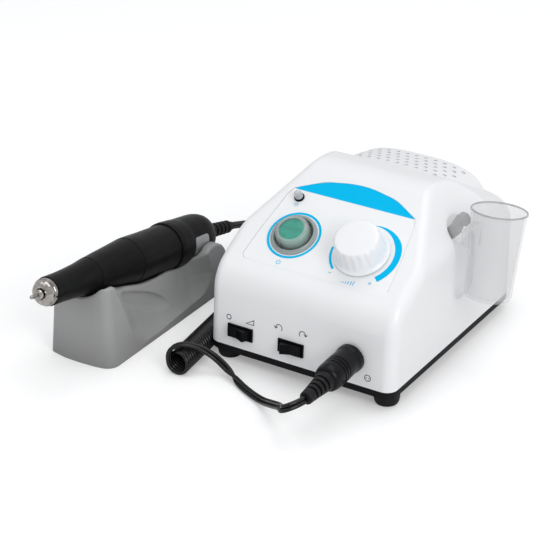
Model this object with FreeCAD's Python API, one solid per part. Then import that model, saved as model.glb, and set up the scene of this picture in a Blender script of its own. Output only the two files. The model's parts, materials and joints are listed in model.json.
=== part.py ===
import FreeCAD, Part
import math
import os

# Desktop nail drill machine: control box, handpiece, handpiece cradle, dust cup and cord.
# Millimetres, +Z up, +X to the right of the control box, +Y to its rear, floor at Z = 0.
# Shapes are drawn with the middle of the box front edge at the origin and moved by PLACE when saved.

V = FreeCAD.Vector
PLACE = V(23.15, -41.15, 0.0)
OUT = "parts"
os.makedirs(OUT, exist_ok=True)

# Driving dimensions of the control box
HALF_WIDTH = 61.6
DEPTH = 161.0
SPLIT_Z = 12.0
TRAY_Z = 7.7
WALL = 2.5
FRONT_LEAN = 4.0
PANEL_SLOPE = 29.67
PANEL_HEIGHT = 56.03
CREST_Y = 83.2
CREST_Z = 103.4
HOOD_HALF = 44.5
HOOD_START = 93.0
HOOD_END = 144.0
HOOD_FALL = 0.198
EDGE_ROUND = 7.0

# Driving dimensions of the handpiece, measured along its own axis from the nose ring
HAND_X = -123.0
HAND_TILT = 10.2
HAND_BACK = 155.2
SHANK_R = 1.175
GRIP_R = 0.8
COLLET_R = 0.85

# Driving dimensions of the cord
CORD_D = 3.4
COIL_R = 5.6
COIL_PITCH = 4.8
COIL_TURNS = 25
COIL_Y = -23.7
COIL_X = -68.3
COIL_SLOPE = 0.12

SAVED = []


def save(name, shape):
    """Write one node, moved to the common origin."""
    moved = shape.copy()
    moved.translate(PLACE)
    moved.exportStep(os.path.join(OUT, name + ".step"))
    box = moved.BoundBox
    SAVED.append(name)
    print(name, "valid", moved.isValid(), "volume", round(moved.Volume, 1), "box",
          [round(v, 1) for v in (box.XMin, box.XMax, box.YMin, box.YMax, box.ZMin, box.ZMax)])


def group(shapes):
    """Several separate solids kept in one node."""
    return Part.makeCompound(shapes)


def box(x0, x1, y0, y1, z0, z1):
    """Box between two corners."""
    return Part.makeBox(x1 - x0, y1 - y0, z1 - z0, V(x0, y0, z0))


def cylinder(radius, height, base, axis):
    """Cylinder from a base point along an axis."""
    return Part.makeCylinder(radius, height, base, axis)


def tube_ring(outer, inner, height, base, axis):
    """Plain ring from a base point along an axis."""
    return cylinder(outer, height, base, axis).cut(cylinder(inner, height, base, axis))


def rounded_wire(points, radii):
    """Closed wire through the points, each corner rounded by its radius."""
    count = len(points)
    corners = []
    for i in range(count):
        corner = points[i]
        before = points[i - 1] - corner
        after = points[(i + 1) % count] - corner
        before = before / before.Length
        after = after / after.Length
        if radii[i] <= 0 or (before + after).Length < 1e-6:
            corners.append((corner, None, corner))
            continue
        half = math.acos(max(-1.0, min(1.0, before.dot(after)))) / 2
        reach = radii[i] / math.tan(half)
        bisector = before + after
        bisector = bisector / bisector.Length
        middle = corner + bisector * (radii[i] / math.sin(half) - radii[i])
        corners.append((corner + before * reach, middle, corner + after * reach))
    edges = []
    for i in range(count):
        start, middle, end = corners[i]
        if middle is not None:
            edges.append(Part.Arc(start, middle, end).toShape())
        following = corners[(i + 1) % count][0]
        if (following - end).Length > 1e-6:
            edges.append(Part.LineSegment(end, following).toShape())
    return Part.Wire(edges)


def prism(points, radii, travel):
    """Rounded polygon pushed along a vector."""
    return Part.Face(rounded_wire(points, radii)).extrude(travel)


def turned(profile, base, axis):
    """Solid of revolution: profile of (radius, distance) pairs along an axis from a base point."""
    points = [V(r, 0, s) for r, s in profile]
    wire = Part.makePolygon(points + [points[0]])
    solid = Part.Face(wire).revolve(V(0, 0, 0), V(0, 0, 1), 360)
    solid.Placement = FreeCAD.Placement(base, FreeCAD.Rotation(V(0, 0, 1), axis))
    return solid


def placed(shape, origin, x_dir, y_dir, z_dir):
    """Shape drawn in a local frame, moved to its place."""
    shape = shape.copy()
    frame = FreeCAD.Placement(origin, FreeCAD.Rotation(x_dir, y_dir, z_dir, "ZXY"))
    shape.Placement = frame.multiply(shape.Placement)
    return shape


# Frames of the sloping control panel and of the leaning front face
SLOPE = math.radians(PANEL_SLOPE)
LEAN = math.radians(FRONT_LEAN)
PANEL_O = V(0, 24.0, PANEL_HEIGHT + 24.0 * math.tan(SLOPE))
PANEL_X = V(1, 0, 0)
PANEL_V = V(0, math.cos(SLOPE), math.sin(SLOPE))
PANEL_N = V(0, -math.sin(SLOPE), math.cos(SLOPE))
FRONT_O = V(0, 0, SPLIT_Z)
FRONT_V = V(0, math.sin(LEAN), math.cos(LEAN))
FRONT_N = V(0, -math.cos(LEAN), math.sin(LEAN))


def on_panel(shape):
    """Local x across, y up the slope, z out of the panel."""
    return placed(shape, PANEL_O, PANEL_X, PANEL_V, PANEL_N)


def on_front(shape):
    """Local x across, y up the front face, z out of it."""
    return placed(shape, FRONT_O, PANEL_X, FRONT_V, FRONT_N)


# Housing form

def side_outline(inset):
    """Side profile of the box, extruded across its width."""
    lean = math.tan(LEAN)
    points = [V(-80, -30 * lean, SPLIT_Z - 30), V(-80, 3.205, 57.86), V(-80, CREST_Y, CREST_Z),
              V(-80, 105, 99.2), V(-80, DEPTH, 69.35), V(-80, DEPTH, SPLIT_Z - 30)]
    wire = rounded_wire(points, [0, 23, 24, 40, 12, 0])
    if inset:
        wire = wire.makeOffset2D(-inset)
    return Part.Face(wire).extrude(V(160, 0, 0))


def cross_outline(inset):
    """Cross profile with the two sloping shoulders, extruded from front to rear."""
    w = HALF_WIDTH
    points = [V(-w, -30, -20), V(-w, -30, 72.2), V(-21.2, -30, 125),
              V(21.2, -30, 125), V(w, -30, 72.2), V(w, -30, -20)]
    wire = rounded_wire(points, [0, 14, 0, 0, 14, 0])
    if inset:
        wire = wire.makeOffset2D(-inset)
    return Part.Face(wire).extrude(V(0, 240, 0))


def rear_round(inset):
    """Large rounding that follows the falling rear deck, and the rounded rear corners."""
    w = HALF_WIDTH
    fall = (99.2 - 69.35) / (DEPTH - 105)
    top = 99.2 + fall * 135
    wire = rounded_wire([V(-w, -30, -80), V(-w, -30, top), V(w, -30, top), V(w, -30, -80)], [0, 27, 27, 0])
    if inset:
        wire = wire.makeOffset2D(-inset)
    deck = Part.Face(wire).extrude(V(0, 240, -fall * 240))
    corners = [V(-w, -30, -30), V(-w, DEPTH, -30), V(w, DEPTH, -30), V(w, -30, -30)]
    plan = rounded_wire(corners, [0, 20, 20, 0])
    if inset:
        plan = plan.makeOffset2D(-inset)
    return deck.common(Part.Face(plan).extrude(V(0, 0, 200)))


def main_form(inset, bottom):
    """The box without its vent hood."""
    body = side_outline(inset).common(cross_outline(inset))
    rim = []
    for edge in body.Edges:
        middle = edge.valueAt((edge.FirstParameter + edge.LastParameter) / 2)
        span = edge.BoundBox
        height = span.ZMax - span.ZMin
        if abs(middle.x) > 20 and height > 0.01 and span.ZMax > -15:
            rim.append(edge)
    body = body.makeFillet(EDGE_ROUND - inset, rim)
    body = body.common(rear_round(inset))
    return body.common(box(-90, 90, -20, 200, bottom, 130))


def hood_form(inset):
    """Arched vent hood that runs out of the top towards the rear."""
    half = HOOD_HALF - inset
    base = 68.0 - HOOD_FALL * (HOOD_START - HOOD_END)
    crown = 101.5 - HOOD_FALL * (HOOD_START - 92.0) - inset
    points = []
    steps = 40
    for i in range(steps + 1):
        angle = math.pi * i / steps
        c = math.cos(angle)
        s = math.sin(angle)
        x = half * math.copysign(abs(c) ** (2 / 2.9), c)
        z = base + (crown - base) * abs(s) ** (2 / 2.9)
        points.append(V(x, HOOD_START, z))
    arch = Part.BSplineCurve()
    arch.interpolate(points)
    wire = Part.Wire([arch.toShape(), Part.LineSegment(points[-1], points[0]).toShape()])
    run = HOOD_END - inset - HOOD_START
    return Part.Face(wire).extrude(V(0, run, -HOOD_FALL * run))


outer = main_form(0.0, SPLIT_Z).fuse(hood_form(0.0))
inner = main_form(WALL, SPLIT_Z - 6).fuse(hood_form(WALL))
housing = outer.cut(inner)

# Control panel recess: outline given in panel coordinates
PANEL_EDGE = [V(-48.3, -11.5, 0), V(48.3, -11.5, 0), V(46.4, 10, 0), V(42.6, 38, 0), V(40.6, 43.4, 0),
              V(24, 52.6, 0), V(0, 57.4, 0), V(-24, 52.6, 0), V(-40.6, 43.4, 0), V(-42.6, 38, 0), V(-46.4, 10, 0)]
PANEL_ROUND = [4, 4, 30, 12, 3, 30, 60, 30, 3, 12, 30]


def panel_sheet(inset, low, high):
    """Sheet with the panel outline between two heights above the panel plane."""
    wire = rounded_wire(PANEL_EDGE, PANEL_ROUND)
    if inset:
        wire = wire.makeOffset2D(-inset)
    sheet = Part.Face(wire).extrude(V(0, 0, high - low))
    sheet.translate(V(0, 0, low))
    return sheet


POWER = (-24.0, 12.0)
SPEED = (21.5, 12.3)
LAMP = (-34.0, 37.7)
SOCKET_X = 34.94
SOCKET_UP = 16.51
ROCKERS = {"selector": -39.5, "direction": -5.05}
ROCKER_UP = 10.5
OUT_Z = V(0, 0, 1)

cuts = [on_panel(panel_sheet(0, -0.9, 3.0))]
cuts.append(on_panel(cylinder(12.6, 12, V(POWER[0], POWER[1], -8), OUT_Z)))
cuts.append(on_panel(cylinder(3.7, 12, V(SPEED[0], SPEED[1], -8), OUT_Z)))
cuts.append(on_panel(cylinder(2.3, 12, V(LAMP[0], LAMP[1], -8), OUT_Z)))
for x in ROCKERS.values():
    cuts.append(on_front(box(x - 8.25, x + 8.25, ROCKER_UP - 3.85, ROCKER_UP + 3.85, -8, 4)))
cuts.append(on_front(cylinder(7.2, 12, V(SOCKET_X, SOCKET_UP, -8), OUT_Z)))

# Rear connectors: appliance inlet, fuse holder and pedal jack
INLET = (-25.0, 34.0)
FUSE = (4.0, 34.0)
JACK = (26.0, 34.0)
inlet_hole = box(-13.7, 13.7, DEPTH - 8, DEPTH + 8, -10.0, 10.0)
inlet_hole.translate(V(INLET[0], 0, INLET[1]))
cuts.append(inlet_hole)
cuts.append(cylinder(6.2, 20, V(FUSE[0], DEPTH - 10, FUSE[1]), V(0, 1, 0)))
cuts.append(cylinder(4.7, 20, V(JACK[0], DEPTH - 10, JACK[1]), V(0, 1, 0)))

# Vent holes in the hood, five staggered rows
VENT_R = 1.35
for row in range(5):
    y = 113.0 + row * 6.2
    count = 11 if row % 2 == 0 else 10
    for i in range(count):
        x = (i - (count - 1) / 2) * 6.4
        cuts.append(cylinder(VENT_R, 30, V(x, y, 75), OUT_Z))

# Recess for the cup bracket on the right side: upright channel and soft scoop in the shoulder
channel = prism([V(58.6, 73, 110), V(58.6, 73, 37), V(58.6, 97, 37), V(58.6, 97, 110)], [0, 9, 9, 0], V(12, 0, 0))
channel_rim = [e for e in channel.Edges if e.BoundBox.XMax < 58.7 and e.BoundBox.ZMin < 108]
channel = channel.makeFillet(1.6, channel_rim)
cuts.append(channel)
scoop = Part.makeSphere(21.0, V(71.5, 85.5, 88.5))
cuts.append(scoop)

housing = housing.cut(group(cuts[:6]))
for tool in cuts[6:]:
    housing = housing.cut(tool)

# The wall is carried inwards behind the channel and the scoop, so that the recess keeps its thickness
backing = box(51.0, 61.0, 69, 101, 36, 90).common(main_form(WALL - 0.05, SPLIT_Z))
backing = backing.cut(box(40, 56.1, 60, 110, 30, 74))
backing = backing.cut(channel).cut(scoop)
keep_out = Part.makeSphere(24.0, V(71.5, 85.5, 88.5))
upper = backing.common(box(40, 70, 60, 110, 74, 100)).common(keep_out)
lower = backing.common(box(40, 70, 60, 110, 30, 74))
housing = housing.fuse(lower).fuse(upper)

# Bracket: hooked clip drawn as a profile across the box, pushed rearwards
BRACKET_Y = 76.5
BRACKET_LENGTH = 5.0
HOOK = [(50.5, 79.5), (54.0, 75.0), (58.1, 77.3), (60.0, 79.3), (61.7, 84.2), (62.7, 86.7),
        (66.3, 86.9), (65.6, 90.6), (63.8, 92.6), (61.0, 93.0), (59.2, 92.1), (54.2, 83.2)]
HOOK_ROUND = [0.6, 0.6, 0.6, 1.0, 2.0, 0.6, 0.5, 1.2, 1.0, 1.0, 1.0, 1.5]
hook_profile = [V(x, BRACKET_Y, z) for x, z in HOOK]
bracket = prism(hook_profile, HOOK_ROUND, V(0, BRACKET_LENGTH, 0))
slot_profile = [p + V(0, -0.25, 0) for p in hook_profile]
bracket_slot = prism(slot_profile, [0] * len(slot_profile), V(0, BRACKET_LENGTH + 0.5, 0))
housing = housing.cut(bracket_slot)

# Screw posts under the top, one above each foot
FEET = [(-53.0, 10.5), (53.0, 10.5), (-48.0, 146.0), (48.0, 146.0)]
for x, y in FEET:
    post = cylinder(4.2, 34, V(x, y, 16), OUT_Z)
    post = post.cut(cylinder(1.3, 20, V(x, y, 15), OUT_Z))
    web = box(min(x, x * 1.26), max(x, x * 1.26), y - 1, y + 1, 18, 50)
    web = web.cut(cylinder(4.0, 40, V(x, y, 14), OUT_Z))
    housing = housing.fuse(post.fuse(web).common(main_form(0.6, SPLIT_Z)))
save("top_housing", housing)

# Black base tray, its plan following the housing
w = HALF_WIDTH - 0.15
tray_corners = [V(-w, 0.15, TRAY_Z), V(w, 0.15, TRAY_Z), V(w, DEPTH - 0.15, TRAY_Z), V(-w, DEPTH - 0.15, TRAY_Z)]
plan = rounded_wire(tray_corners, [EDGE_ROUND, EDGE_ROUND, 19.8, 19.8])
tray = Part.Face(plan).extrude(V(0, 0, SPLIT_Z - TRAY_Z))
lip_wire = plan.makeOffset2D(-(WALL + 0.15))
pocket_wire = plan.makeOffset2D(-(WALL + 2.0))
lip = Part.Face(lip_wire).extrude(V(0, 0, 7.3))
tray = tray.fuse(lip)
pocket = Part.Face(pocket_wire).extrude(V(0, 0, 12))
pocket.translate(V(0, 0, 2.5))
tray = tray.cut(pocket)
for x, y in FEET:
    tray = tray.fuse(cylinder(5.0, 8.1, V(x, y, TRAY_Z), OUT_Z))
BOARD_POSTS = [(-44, 30), (16, 30), (-44, 66), (16, 66)]
for x, y in BOARD_POSTS:
    board_post = cylinder(3.0, 8.0, V(x, y, TRAY_Z + 1), OUT_Z)
    tray = tray.fuse(board_post.cut(cylinder(1.0, 6.0, V(x, y, TRAY_Z + 3.2), OUT_Z)))
for x, y in FEET:
    tray = tray.cut(cylinder(1.7, 30, V(x, y, 0), OUT_Z))
for i in range(9):
    tray = tray.cut(box(-20 + i * 5.0, -18 + i * 5.0, 100, 128, TRAY_Z - 1, TRAY_Z + 4))
save("base_tray", tray)

# Rubber feet with the base screws inside them
feet = []
screws = []
foot_profile = [(2.0, 2.2), (3.6, 2.2), (3.6, 0.0), (5.8, 0.0), (6.6, 0.5), (7.2, 1.7), (7.6, 3.6), (7.8, TRAY_Z),
                (2.0, TRAY_Z)]
screw_profile = [(0, 0.5), (3.1, 0.5), (3.1, 2.2), (1.25, 2.2), (1.25, 24.0), (0, 24.0)]
for x, y in FEET:
    feet.append(turned(foot_profile, V(x, y, 0), OUT_Z))
    screw = turned(screw_profile, V(x, y, 0), OUT_Z)
    screw = screw.cut(box(x - 2, x + 2, y - 0.4, y + 0.4, 0.4, 1.3))
    screws.append(screw.cut(box(x - 0.4, x + 0.4, y - 2, y + 2, 0.4, 1.3)))
save("rubber_feet", group(feet))
save("base_screws", group(screws))

# Control panel overlay with its three openings
overlay = panel_sheet(0.25, -0.9, -0.35)
overlay = overlay.cut(cylinder(12.7, 4, V(POWER[0], POWER[1], -2), OUT_Z))
overlay = overlay.cut(cylinder(3.8, 4, V(SPEED[0], SPEED[1], -2), OUT_Z))
overlay = overlay.cut(cylinder(2.4, 4, V(LAMP[0], LAMP[1], -2), OUT_Z))
save("panel_overlay", on_panel(overlay))

# Power switch: body through the panel, soft clear boot ring, green cap under a clear dome
pu, pv = POWER
TOP = -0.35
switch = turned([(0, -17), (11.0, -17), (11.0, -9.5), (12.2, -9.5), (12.2, TOP), (13.8, TOP), (13.8, TOP + 0.6),
                 (11.4, TOP + 0.6), (11.4, -7.0), (9.6, -7.0), (9.6, -15.5), (0, -15.5)], V(pu, pv, 0), OUT_Z)
blades = [box(pu - 5, pu - 4.2, pv - 3, pv + 3, -23, -17), box(pu + 4.2, pu + 5, pv - 3, pv + 3, -23, -17)]
save("power_switch_body", on_panel(group([switch] + blades)))
boot = turned([(11.6, TOP + 0.6), (14.7, TOP + 0.6), (14.9, TOP + 1.2), (14.6, TOP + 2.3), (13.9, TOP + 2.6),
               (13.2, TOP + 3.6), (12.5, TOP + 4.0), (11.8, TOP + 3.6), (11.2, TOP + 2.2), (11.0, -2.5), (10.7, -4.6),
               (10.4, -6.8), (11.3, -6.8), (11.3, TOP + 0.6)], V(pu, pv, 0), OUT_Z)
save("power_boot_ring", on_panel(boot))
POWER_TRAVEL = 2.0
cap = turned([(0, -10.5), (7.6, -10.5), (7.6, -2.0), (8.6, -2.0), (8.6, 3.9), (7.9, 4.9), (6.0, 5.3), (0, 5.4)],
             V(pu, pv, 0), OUT_Z)
save("power_cap", on_panel(cap))
dome = turned([(8.75, -2.0), (9.9, -2.0), (9.9, 3.9), (9.4, 5.3), (8.2, 6.3), (6.0, 6.7), (0, 6.8), (0, 5.6),
               (6.1, 5.5), (8.05, 5.05), (8.75, 4.0)], V(pu, pv, 0), OUT_Z)
save("power_cap_cover", on_panel(dome))

# Speed control: potentiometer below the panel, shaft, nut and fluted knob
su, sv = SPEED
pot = cylinder(9.0, 9.0, V(su, sv, -13.2), OUT_Z).fuse(cylinder(3.5, 5.8, V(su, sv, -4.2), OUT_Z))
pot = pot.cut(cylinder(3.1, 12, V(su, sv, -8.0), OUT_Z))
save("speed_potentiometer", on_panel(pot))
pot_nut = tube_ring(5.6, 3.55, 1.6, V(su, sv, TOP + 0.02), OUT_Z)
save("potentiometer_nut", on_panel(pot_nut))
pot_shaft = cylinder(3.0, 19.5, V(su, sv, -7.6), OUT_Z)
pot_shaft = pot_shaft.cut(box(su + 1.6, su + 4, sv - 4, sv + 4, 4.0, 14))
save("potentiometer_shaft", on_panel(pot_shaft))
knob = turned([(0, 13.0), (3.05, 13.0), (3.05, 2.1), (6.2, 2.1), (6.2, 0.35), (16.6, 0.35), (16.9, 0.7), (16.8, 1.4),
               (15.6, 2.3), (14.2, 3.0), (13.5, 4.2), (13.2, 6.0), (12.8, 13.0), (12.2, 14.4), (11.0, 15.2),
                (0, 15.6)],
              V(su, sv, 0), OUT_Z)
FLUTES = 16
for i in range(FLUTES):
    angle = 2 * math.pi * (i + 0.5) / FLUTES
    centre = V(su + 15.2 * math.cos(angle), sv + 15.2 * math.sin(angle), 4.6)
    knob = knob.cut(cylinder(2.9, 12, centre, OUT_Z))
knob = knob.cut(box(su - 3, su + 3, sv + 9.8, sv + 10.6, 15.0, 16))
save("speed_knob", on_panel(knob))

# Indicator lamp: bezel and clear lens
lu, lv = LAMP
bezel = turned([(1.9, -4.5), (2.25, -4.5), (2.25, TOP), (3.1, TOP), (3.1, TOP + 0.8), (2.6, TOP + 1.3),
                (1.9, TOP + 1.3)], V(lu, lv, 0), OUT_Z)
save("lamp_bezel", on_panel(bezel))
lens = turned([(0, -6.0), (1.85, -6.0), (1.85, TOP + 1.35), (2.5, TOP + 1.35), (2.5, 3.4), (2.1, 4.4), (1.2, 5.1),
               (0, 5.35)], V(lu, lv, 0), OUT_Z)
save("lamp_lens", on_panel(lens))

# Rocker switches on the front: each has a frame let into the housing and a rocker on a vertical pin
ROCKER_TILT = 13.0
PIVOT_W = -2.0
PIN_R = 0.9


def rocker_frame(x):
    """Flanged frame with its closed body and terminals."""
    frame = box(x - 8.5, x + 8.5, ROCKER_UP - 4.1, ROCKER_UP + 4.1, 0.02, 1.0)
    frame = frame.fuse(box(x - 8.15, x + 8.15, ROCKER_UP - 3.75, ROCKER_UP + 3.75, -11.0, 0.5))
    frame = frame.cut(box(x - 7.75, x + 7.75, ROCKER_UP - 3.3, ROCKER_UP + 3.3, -9.6, 3))
    frame = frame.cut(cylinder(PIN_R + 0.05, 10.0, V(x, ROCKER_UP - 5.0, PIVOT_W), V(0, 1, 0)))
    tabs = [box(x + s - 0.4, x + s + 0.4, ROCKER_UP - 2, ROCKER_UP + 2, -16.0, -11.0) for s in (-5, 0, 5)]
    return on_front(group([frame] + tabs))


def rocker(x, tilt):
    """Concave rocker with its pin, turned about the pin by its rest tilt."""
    half = [(6.2, 4.56), (6.6, 1.78), (7.0, -1.0), (6.6, -3.8), (3.2, -6.4)]
    outline = [V(p, 0, q) for p, q in half] + [V(-p, 0, q) for p, q in reversed(half)] + [V(0, 0, 3.13)]
    radii = [0.5, 1.0, 1.0, 1.0, 1.0, 1.0, 1.0, 1.0, 1.0, 0.5, 0.8]
    solid = prism(outline, radii, V(0, 6.1, 0))
    solid.translate(V(0, -3.05, 0))
    solid = solid.fuse(cylinder(PIN_R, 7.3, V(0, -3.65, PIVOT_W), V(0, 1, 0)))
    solid.rotate(V(0, 0, PIVOT_W), V(0, 1, 0), tilt)
    solid.translate(V(x, ROCKER_UP, 0))
    return on_front(solid)


save("selector_rocker_frame", rocker_frame(ROCKERS["selector"]))
save("selector_rocker", rocker(ROCKERS["selector"], -ROCKER_TILT))
save("direction_rocker_frame", rocker_frame(ROCKERS["direction"]))
save("direction_rocker", rocker(ROCKERS["direction"], ROCKER_TILT))

# Motor socket in the front face and the cord plug pushed into it
PLUG_DROOP = math.radians(2.3)
PLUG_AXIS = V(0, -math.cos(PLUG_DROOP), -math.sin(PLUG_DROOP))
SOCKET_P = FRONT_O + V(SOCKET_X, 0, 0) + FRONT_V * SOCKET_UP
socket = turned([(5.2, 0.15), (7.0, 0.15), (7.0, -4.0), (9.0, -4.0), (9.0, -13.0), (2.2, -13.0), (2.2, -9.5),
                 (5.2, -9.5)], V(SOCKET_X, SOCKET_UP, 0), OUT_Z)
save("motor_socket", on_front(socket))
PLUG_LONG = 27.8
plug_base = SOCKET_P + PLUG_AXIS * 1.2
plug_profile = [(0, 0), (8.72, 0), (8.72, 3.0), (8.45, 4.0), (8.23, 6.1), (8.35, 9.5), (8.41, 12.2), (8.41, 13.5)]
for groove in (13.8, 16.2, 18.6):
    plug_profile += [(8.4, groove), (7.95, groove + 0.2), (7.95, groove + 0.8), (8.4, groove + 1.0)]
plug_profile += [(8.4, 21.6), (8.3, 23.4), (8.05, 25.0), (7.7, 26.4), (7.1, 27.3), (6.3, PLUG_LONG), (0, PLUG_LONG)]
plug = turned(plug_profile, plug_base, PLUG_AXIS)
pin = cylinder(1.5, 8.0, SOCKET_P + FRONT_N * (-6.0), FRONT_N)
plug = plug.fuse(pin)
save("motor_plug", plug)
RELIEF_LONG = 21.3
relief_base = plug_base + PLUG_AXIS * PLUG_LONG
relief = turned([(0, 0), (6.1, 0), (5.95, 1.2), (5.47, 5.2), (4.54, 13.2), (3.95, 20.7), (3.6, RELIEF_LONG),
                 (0, RELIEF_LONG)], relief_base, PLUG_AXIS)
side_dir = V(1, 0, 0)
up_dir = PLUG_AXIS.cross(side_dir)
for i in range(4):
    start = relief_base + PLUG_AXIS * (4.0 + i * 3.6)
    slot = Part.makeBox(16, 12, 1.4, V(-8, -1.2, 0))
    slot = slot.cut(cylinder(2.3, 4, V(0, 0, -1), OUT_Z))
    relief = relief.cut(placed(slot, start, side_dir, up_dir, PLUG_AXIS))
save("plug_strain_relief", relief)
RELIEF_END = relief_base + PLUG_AXIS * RELIEF_LONG

# Rear connectors
inlet = box(-13.5, 13.5, DEPTH - 16, DEPTH + 0.3, -9.8, 9.8)
inlet = inlet.fuse(box(-16.5, 16.5, DEPTH + 0.02, DEPTH + 2.2, -12, 12))
mouth_depth = DEPTH - 14
mouth = prism([V(-12, mouth_depth, -8), V(12, mouth_depth, -8), V(12, mouth_depth, 4), V(8, mouth_depth, 8),
               V(-8, mouth_depth, 8), V(-12, mouth_depth, 4)], [1, 1, 1, 1, 1, 1], V(0, 30, 0))
inlet = inlet.cut(mouth)
inlet.translate(V(INLET[0], 0, INLET[1]))
save("power_inlet", inlet)
pins = group([box(-8, -6, mouth_depth + 0.05, DEPTH - 1, -2, 2), box(6, 8, mouth_depth + 0.05, DEPTH - 1, -2, 2),
              box(-1, 1, mouth_depth + 0.05, DEPTH - 1, 1, 5)])
pins.translate(V(INLET[0], 0, INLET[1]))
save("inlet_pins", pins)
fuse_holder = turned([(0, -22), (6.0, -22), (6.0, 0.02), (7.4, 0.02), (7.4, 1.4), (6.4, 2.0), (6.4, 6.5), (5.6, 7.2),
                      (0, 7.2)], V(FUSE[0], DEPTH, FUSE[1]), V(0, 1, 0))
coin_slot = box(FUSE[0] - 4.5, FUSE[0] + 4.5, DEPTH + 6.0, DEPTH + 8, FUSE[1] - 0.6, FUSE[1] + 0.6)
save("fuse_holder", fuse_holder.cut(coin_slot))
jack = turned([(1.8, -14), (6.5, -14), (6.5, -2.7), (4.5, -2.7), (4.5, 4.5), (1.8, 4.5)],
              V(JACK[0], DEPTH, JACK[1]), V(0, 1, 0))
save("pedal_jack", jack)
jack_nut = tube_ring(6.6, 4.55, 2.2, V(JACK[0], DEPTH + 0.02, JACK[1]), V(0, 1, 0))
for i in range(6):
    flat = box(5.7, 8, DEPTH - 1, DEPTH + 4, -6, 6)
    flat.rotate(V(0, 0, 0), V(0, 1, 0), 60 * i)
    flat.translate(V(JACK[0], 0, JACK[1]))
    jack_nut = jack_nut.cut(flat)
save("jack_nut", jack_nut)

# Electronics on the tray
board_z = TRAY_Z + 9.02
board = box(-50, 22, 25, 71, board_z, board_z + 1.6)
for x, y in BOARD_POSTS:
    board = board.cut(cylinder(1.25, 4, V(x, y, board_z - 1), OUT_Z))
save("circuit_board", board)
board_top = board_z + 1.6
bolts = []
for x, y in BOARD_POSTS:
    bolt = turned([(0, -5.0), (0.95, -5.0), (0.95, 1.62), (2.4, 1.62), (2.4, 3.2), (0, 3.2)], V(x, y, board_z), OUT_Z)
    bolts.append(bolt)
save("board_screws", group(bolts))
cans = [cylinder(6.0, 20, V(-34, 48, board_top + 0.02), OUT_Z)]
for y in (40, 54):
    cans.append(cylinder(4.0, 13, V(-20, y, board_top + 0.02), OUT_Z))
save("capacitors", group(cans))
sink = box(2, 14, 40, 62, board_top + 0.02, board_top + 24)
for i in range(5):
    sink = sink.cut(box(4.6, 15, 42.0 + i * 4.0, 44.2 + i * 4.0, board_top - 1, board_top + 30))
save("heat_sink", sink)

# Mains transformer: laminated core and winding on the tray
core = box(-48, 12, 88, 126, TRAY_Z + 2.52, 62)
core = core.cut(box(-38, -24, 80, 130, 20, 52)).cut(box(-12, 2, 80, 130, 20, 52))
save("transformer_core", core)
coil_block = prism([V(-37.7, 82, 20.3), V(1.7, 82, 20.3), V(1.7, 132, 20.3), V(-37.7, 132, 20.3)],
                   [6, 6, 6, 6], V(0, 0, 31.4))
coil_block = coil_block.cut(box(-24.2, -11.8, 87.8, 126.2, 10, 60))
save("transformer_winding", coil_block)

# Dust cup on its bracket
CUP_N = V(0.010, 0.174, 0.985)
CUP_N = CUP_N / CUP_N.Length
CUP_RIM = V(83.0, 82.9, 98.9)
CUP_LONG = 53.0
cup_base = CUP_RIM - CUP_N * CUP_LONG
cup = turned([(0, 0), (11.2, 0), (12.9, 0.8), (13.7, 2.6), (13.9, 5.0), (16.1, 50.5), (16.7, 51.4), (16.7, 52.6),
              (16.1, CUP_LONG), (15.0, CUP_LONG), (14.8, 51.5), (12.6, 5.0), (12.2, 3.0), (10.8, 1.6), (0, 1.6)],
             cup_base, CUP_N)
lug = prism([V(62.4, 77.5, 74.0), V(69.5, 77.5, 71.5), V(69.5, 77.5, 85.0), V(64.6, 77.5, 85.4), V(62.6, 77.5, 82.0)],
            [1.2, 0, 0, 1.2, 1.2], V(0, 11, 0))
cup_core = turned([(0, 1.6), (12.3, 3.0), (12.7, 5.0), (14.9, 51.5), (14.9, 60), (0, 60)], cup_base, CUP_N)
cup = cup.fuse(lug.cut(cup_core))
save("dust_cup", cup)
save("cup_bracket", bracket)

# Handpiece cradle: drafted block, lower towards the rear, scooped out on both sides
CR = HAND_X
cradle_plan = [V(CR - 23.0, -43.6, 0), V(CR - 10.0, -46.1, 0), V(CR + 1.0, -46.3, 0), V(CR + 12.0, -45.6, 0),
               V(CR + 22.8, -43.4, 0), V(CR + 22.8, 88.0, 0), V(CR - 23.0, 88.0, 0)]
low = rounded_wire(cradle_plan, [4.5, 30, 40, 30, 7.5, 9, 9])
high_plan = [V(CR - 18.6, -41.2, 62), V(CR - 8.0, -42.2, 62), V(CR + 1.0, -42.3, 62), V(CR + 9.6, -42.0, 62),
             V(CR + 18.4, -41.0, 62), V(CR + 18.4, 82.0, 62), V(CR - 18.6, 82.0, 62)]
high = rounded_wire(high_plan, [4.0, 30, 40, 30, 6.0, 8, 8])
cradle = Part.makeLoft([low, high], True, True)
# Top line of the cradle seen from the side
TOP_LINE = [(-60.0, 50.2), (-38.0, 50.2), (-31.0, 46.5), (-20.0, 40.0), (8.0, 35.6), (48.0, 29.5), (60.0, 33.8),
            (76.5, 32.6), (84.8, 19.0), (100.0, 12.0), (100.0, 80.0), (-60.0, 80.0)]
above = [V(CR - 40, y, z) for y, z in TOP_LINE]
cradle = cradle.cut(prism(above, [0, 5, 12, 20, 60, 12, 10, 8, 10, 0, 0, 0], V(80, 0, 0)))
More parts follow.
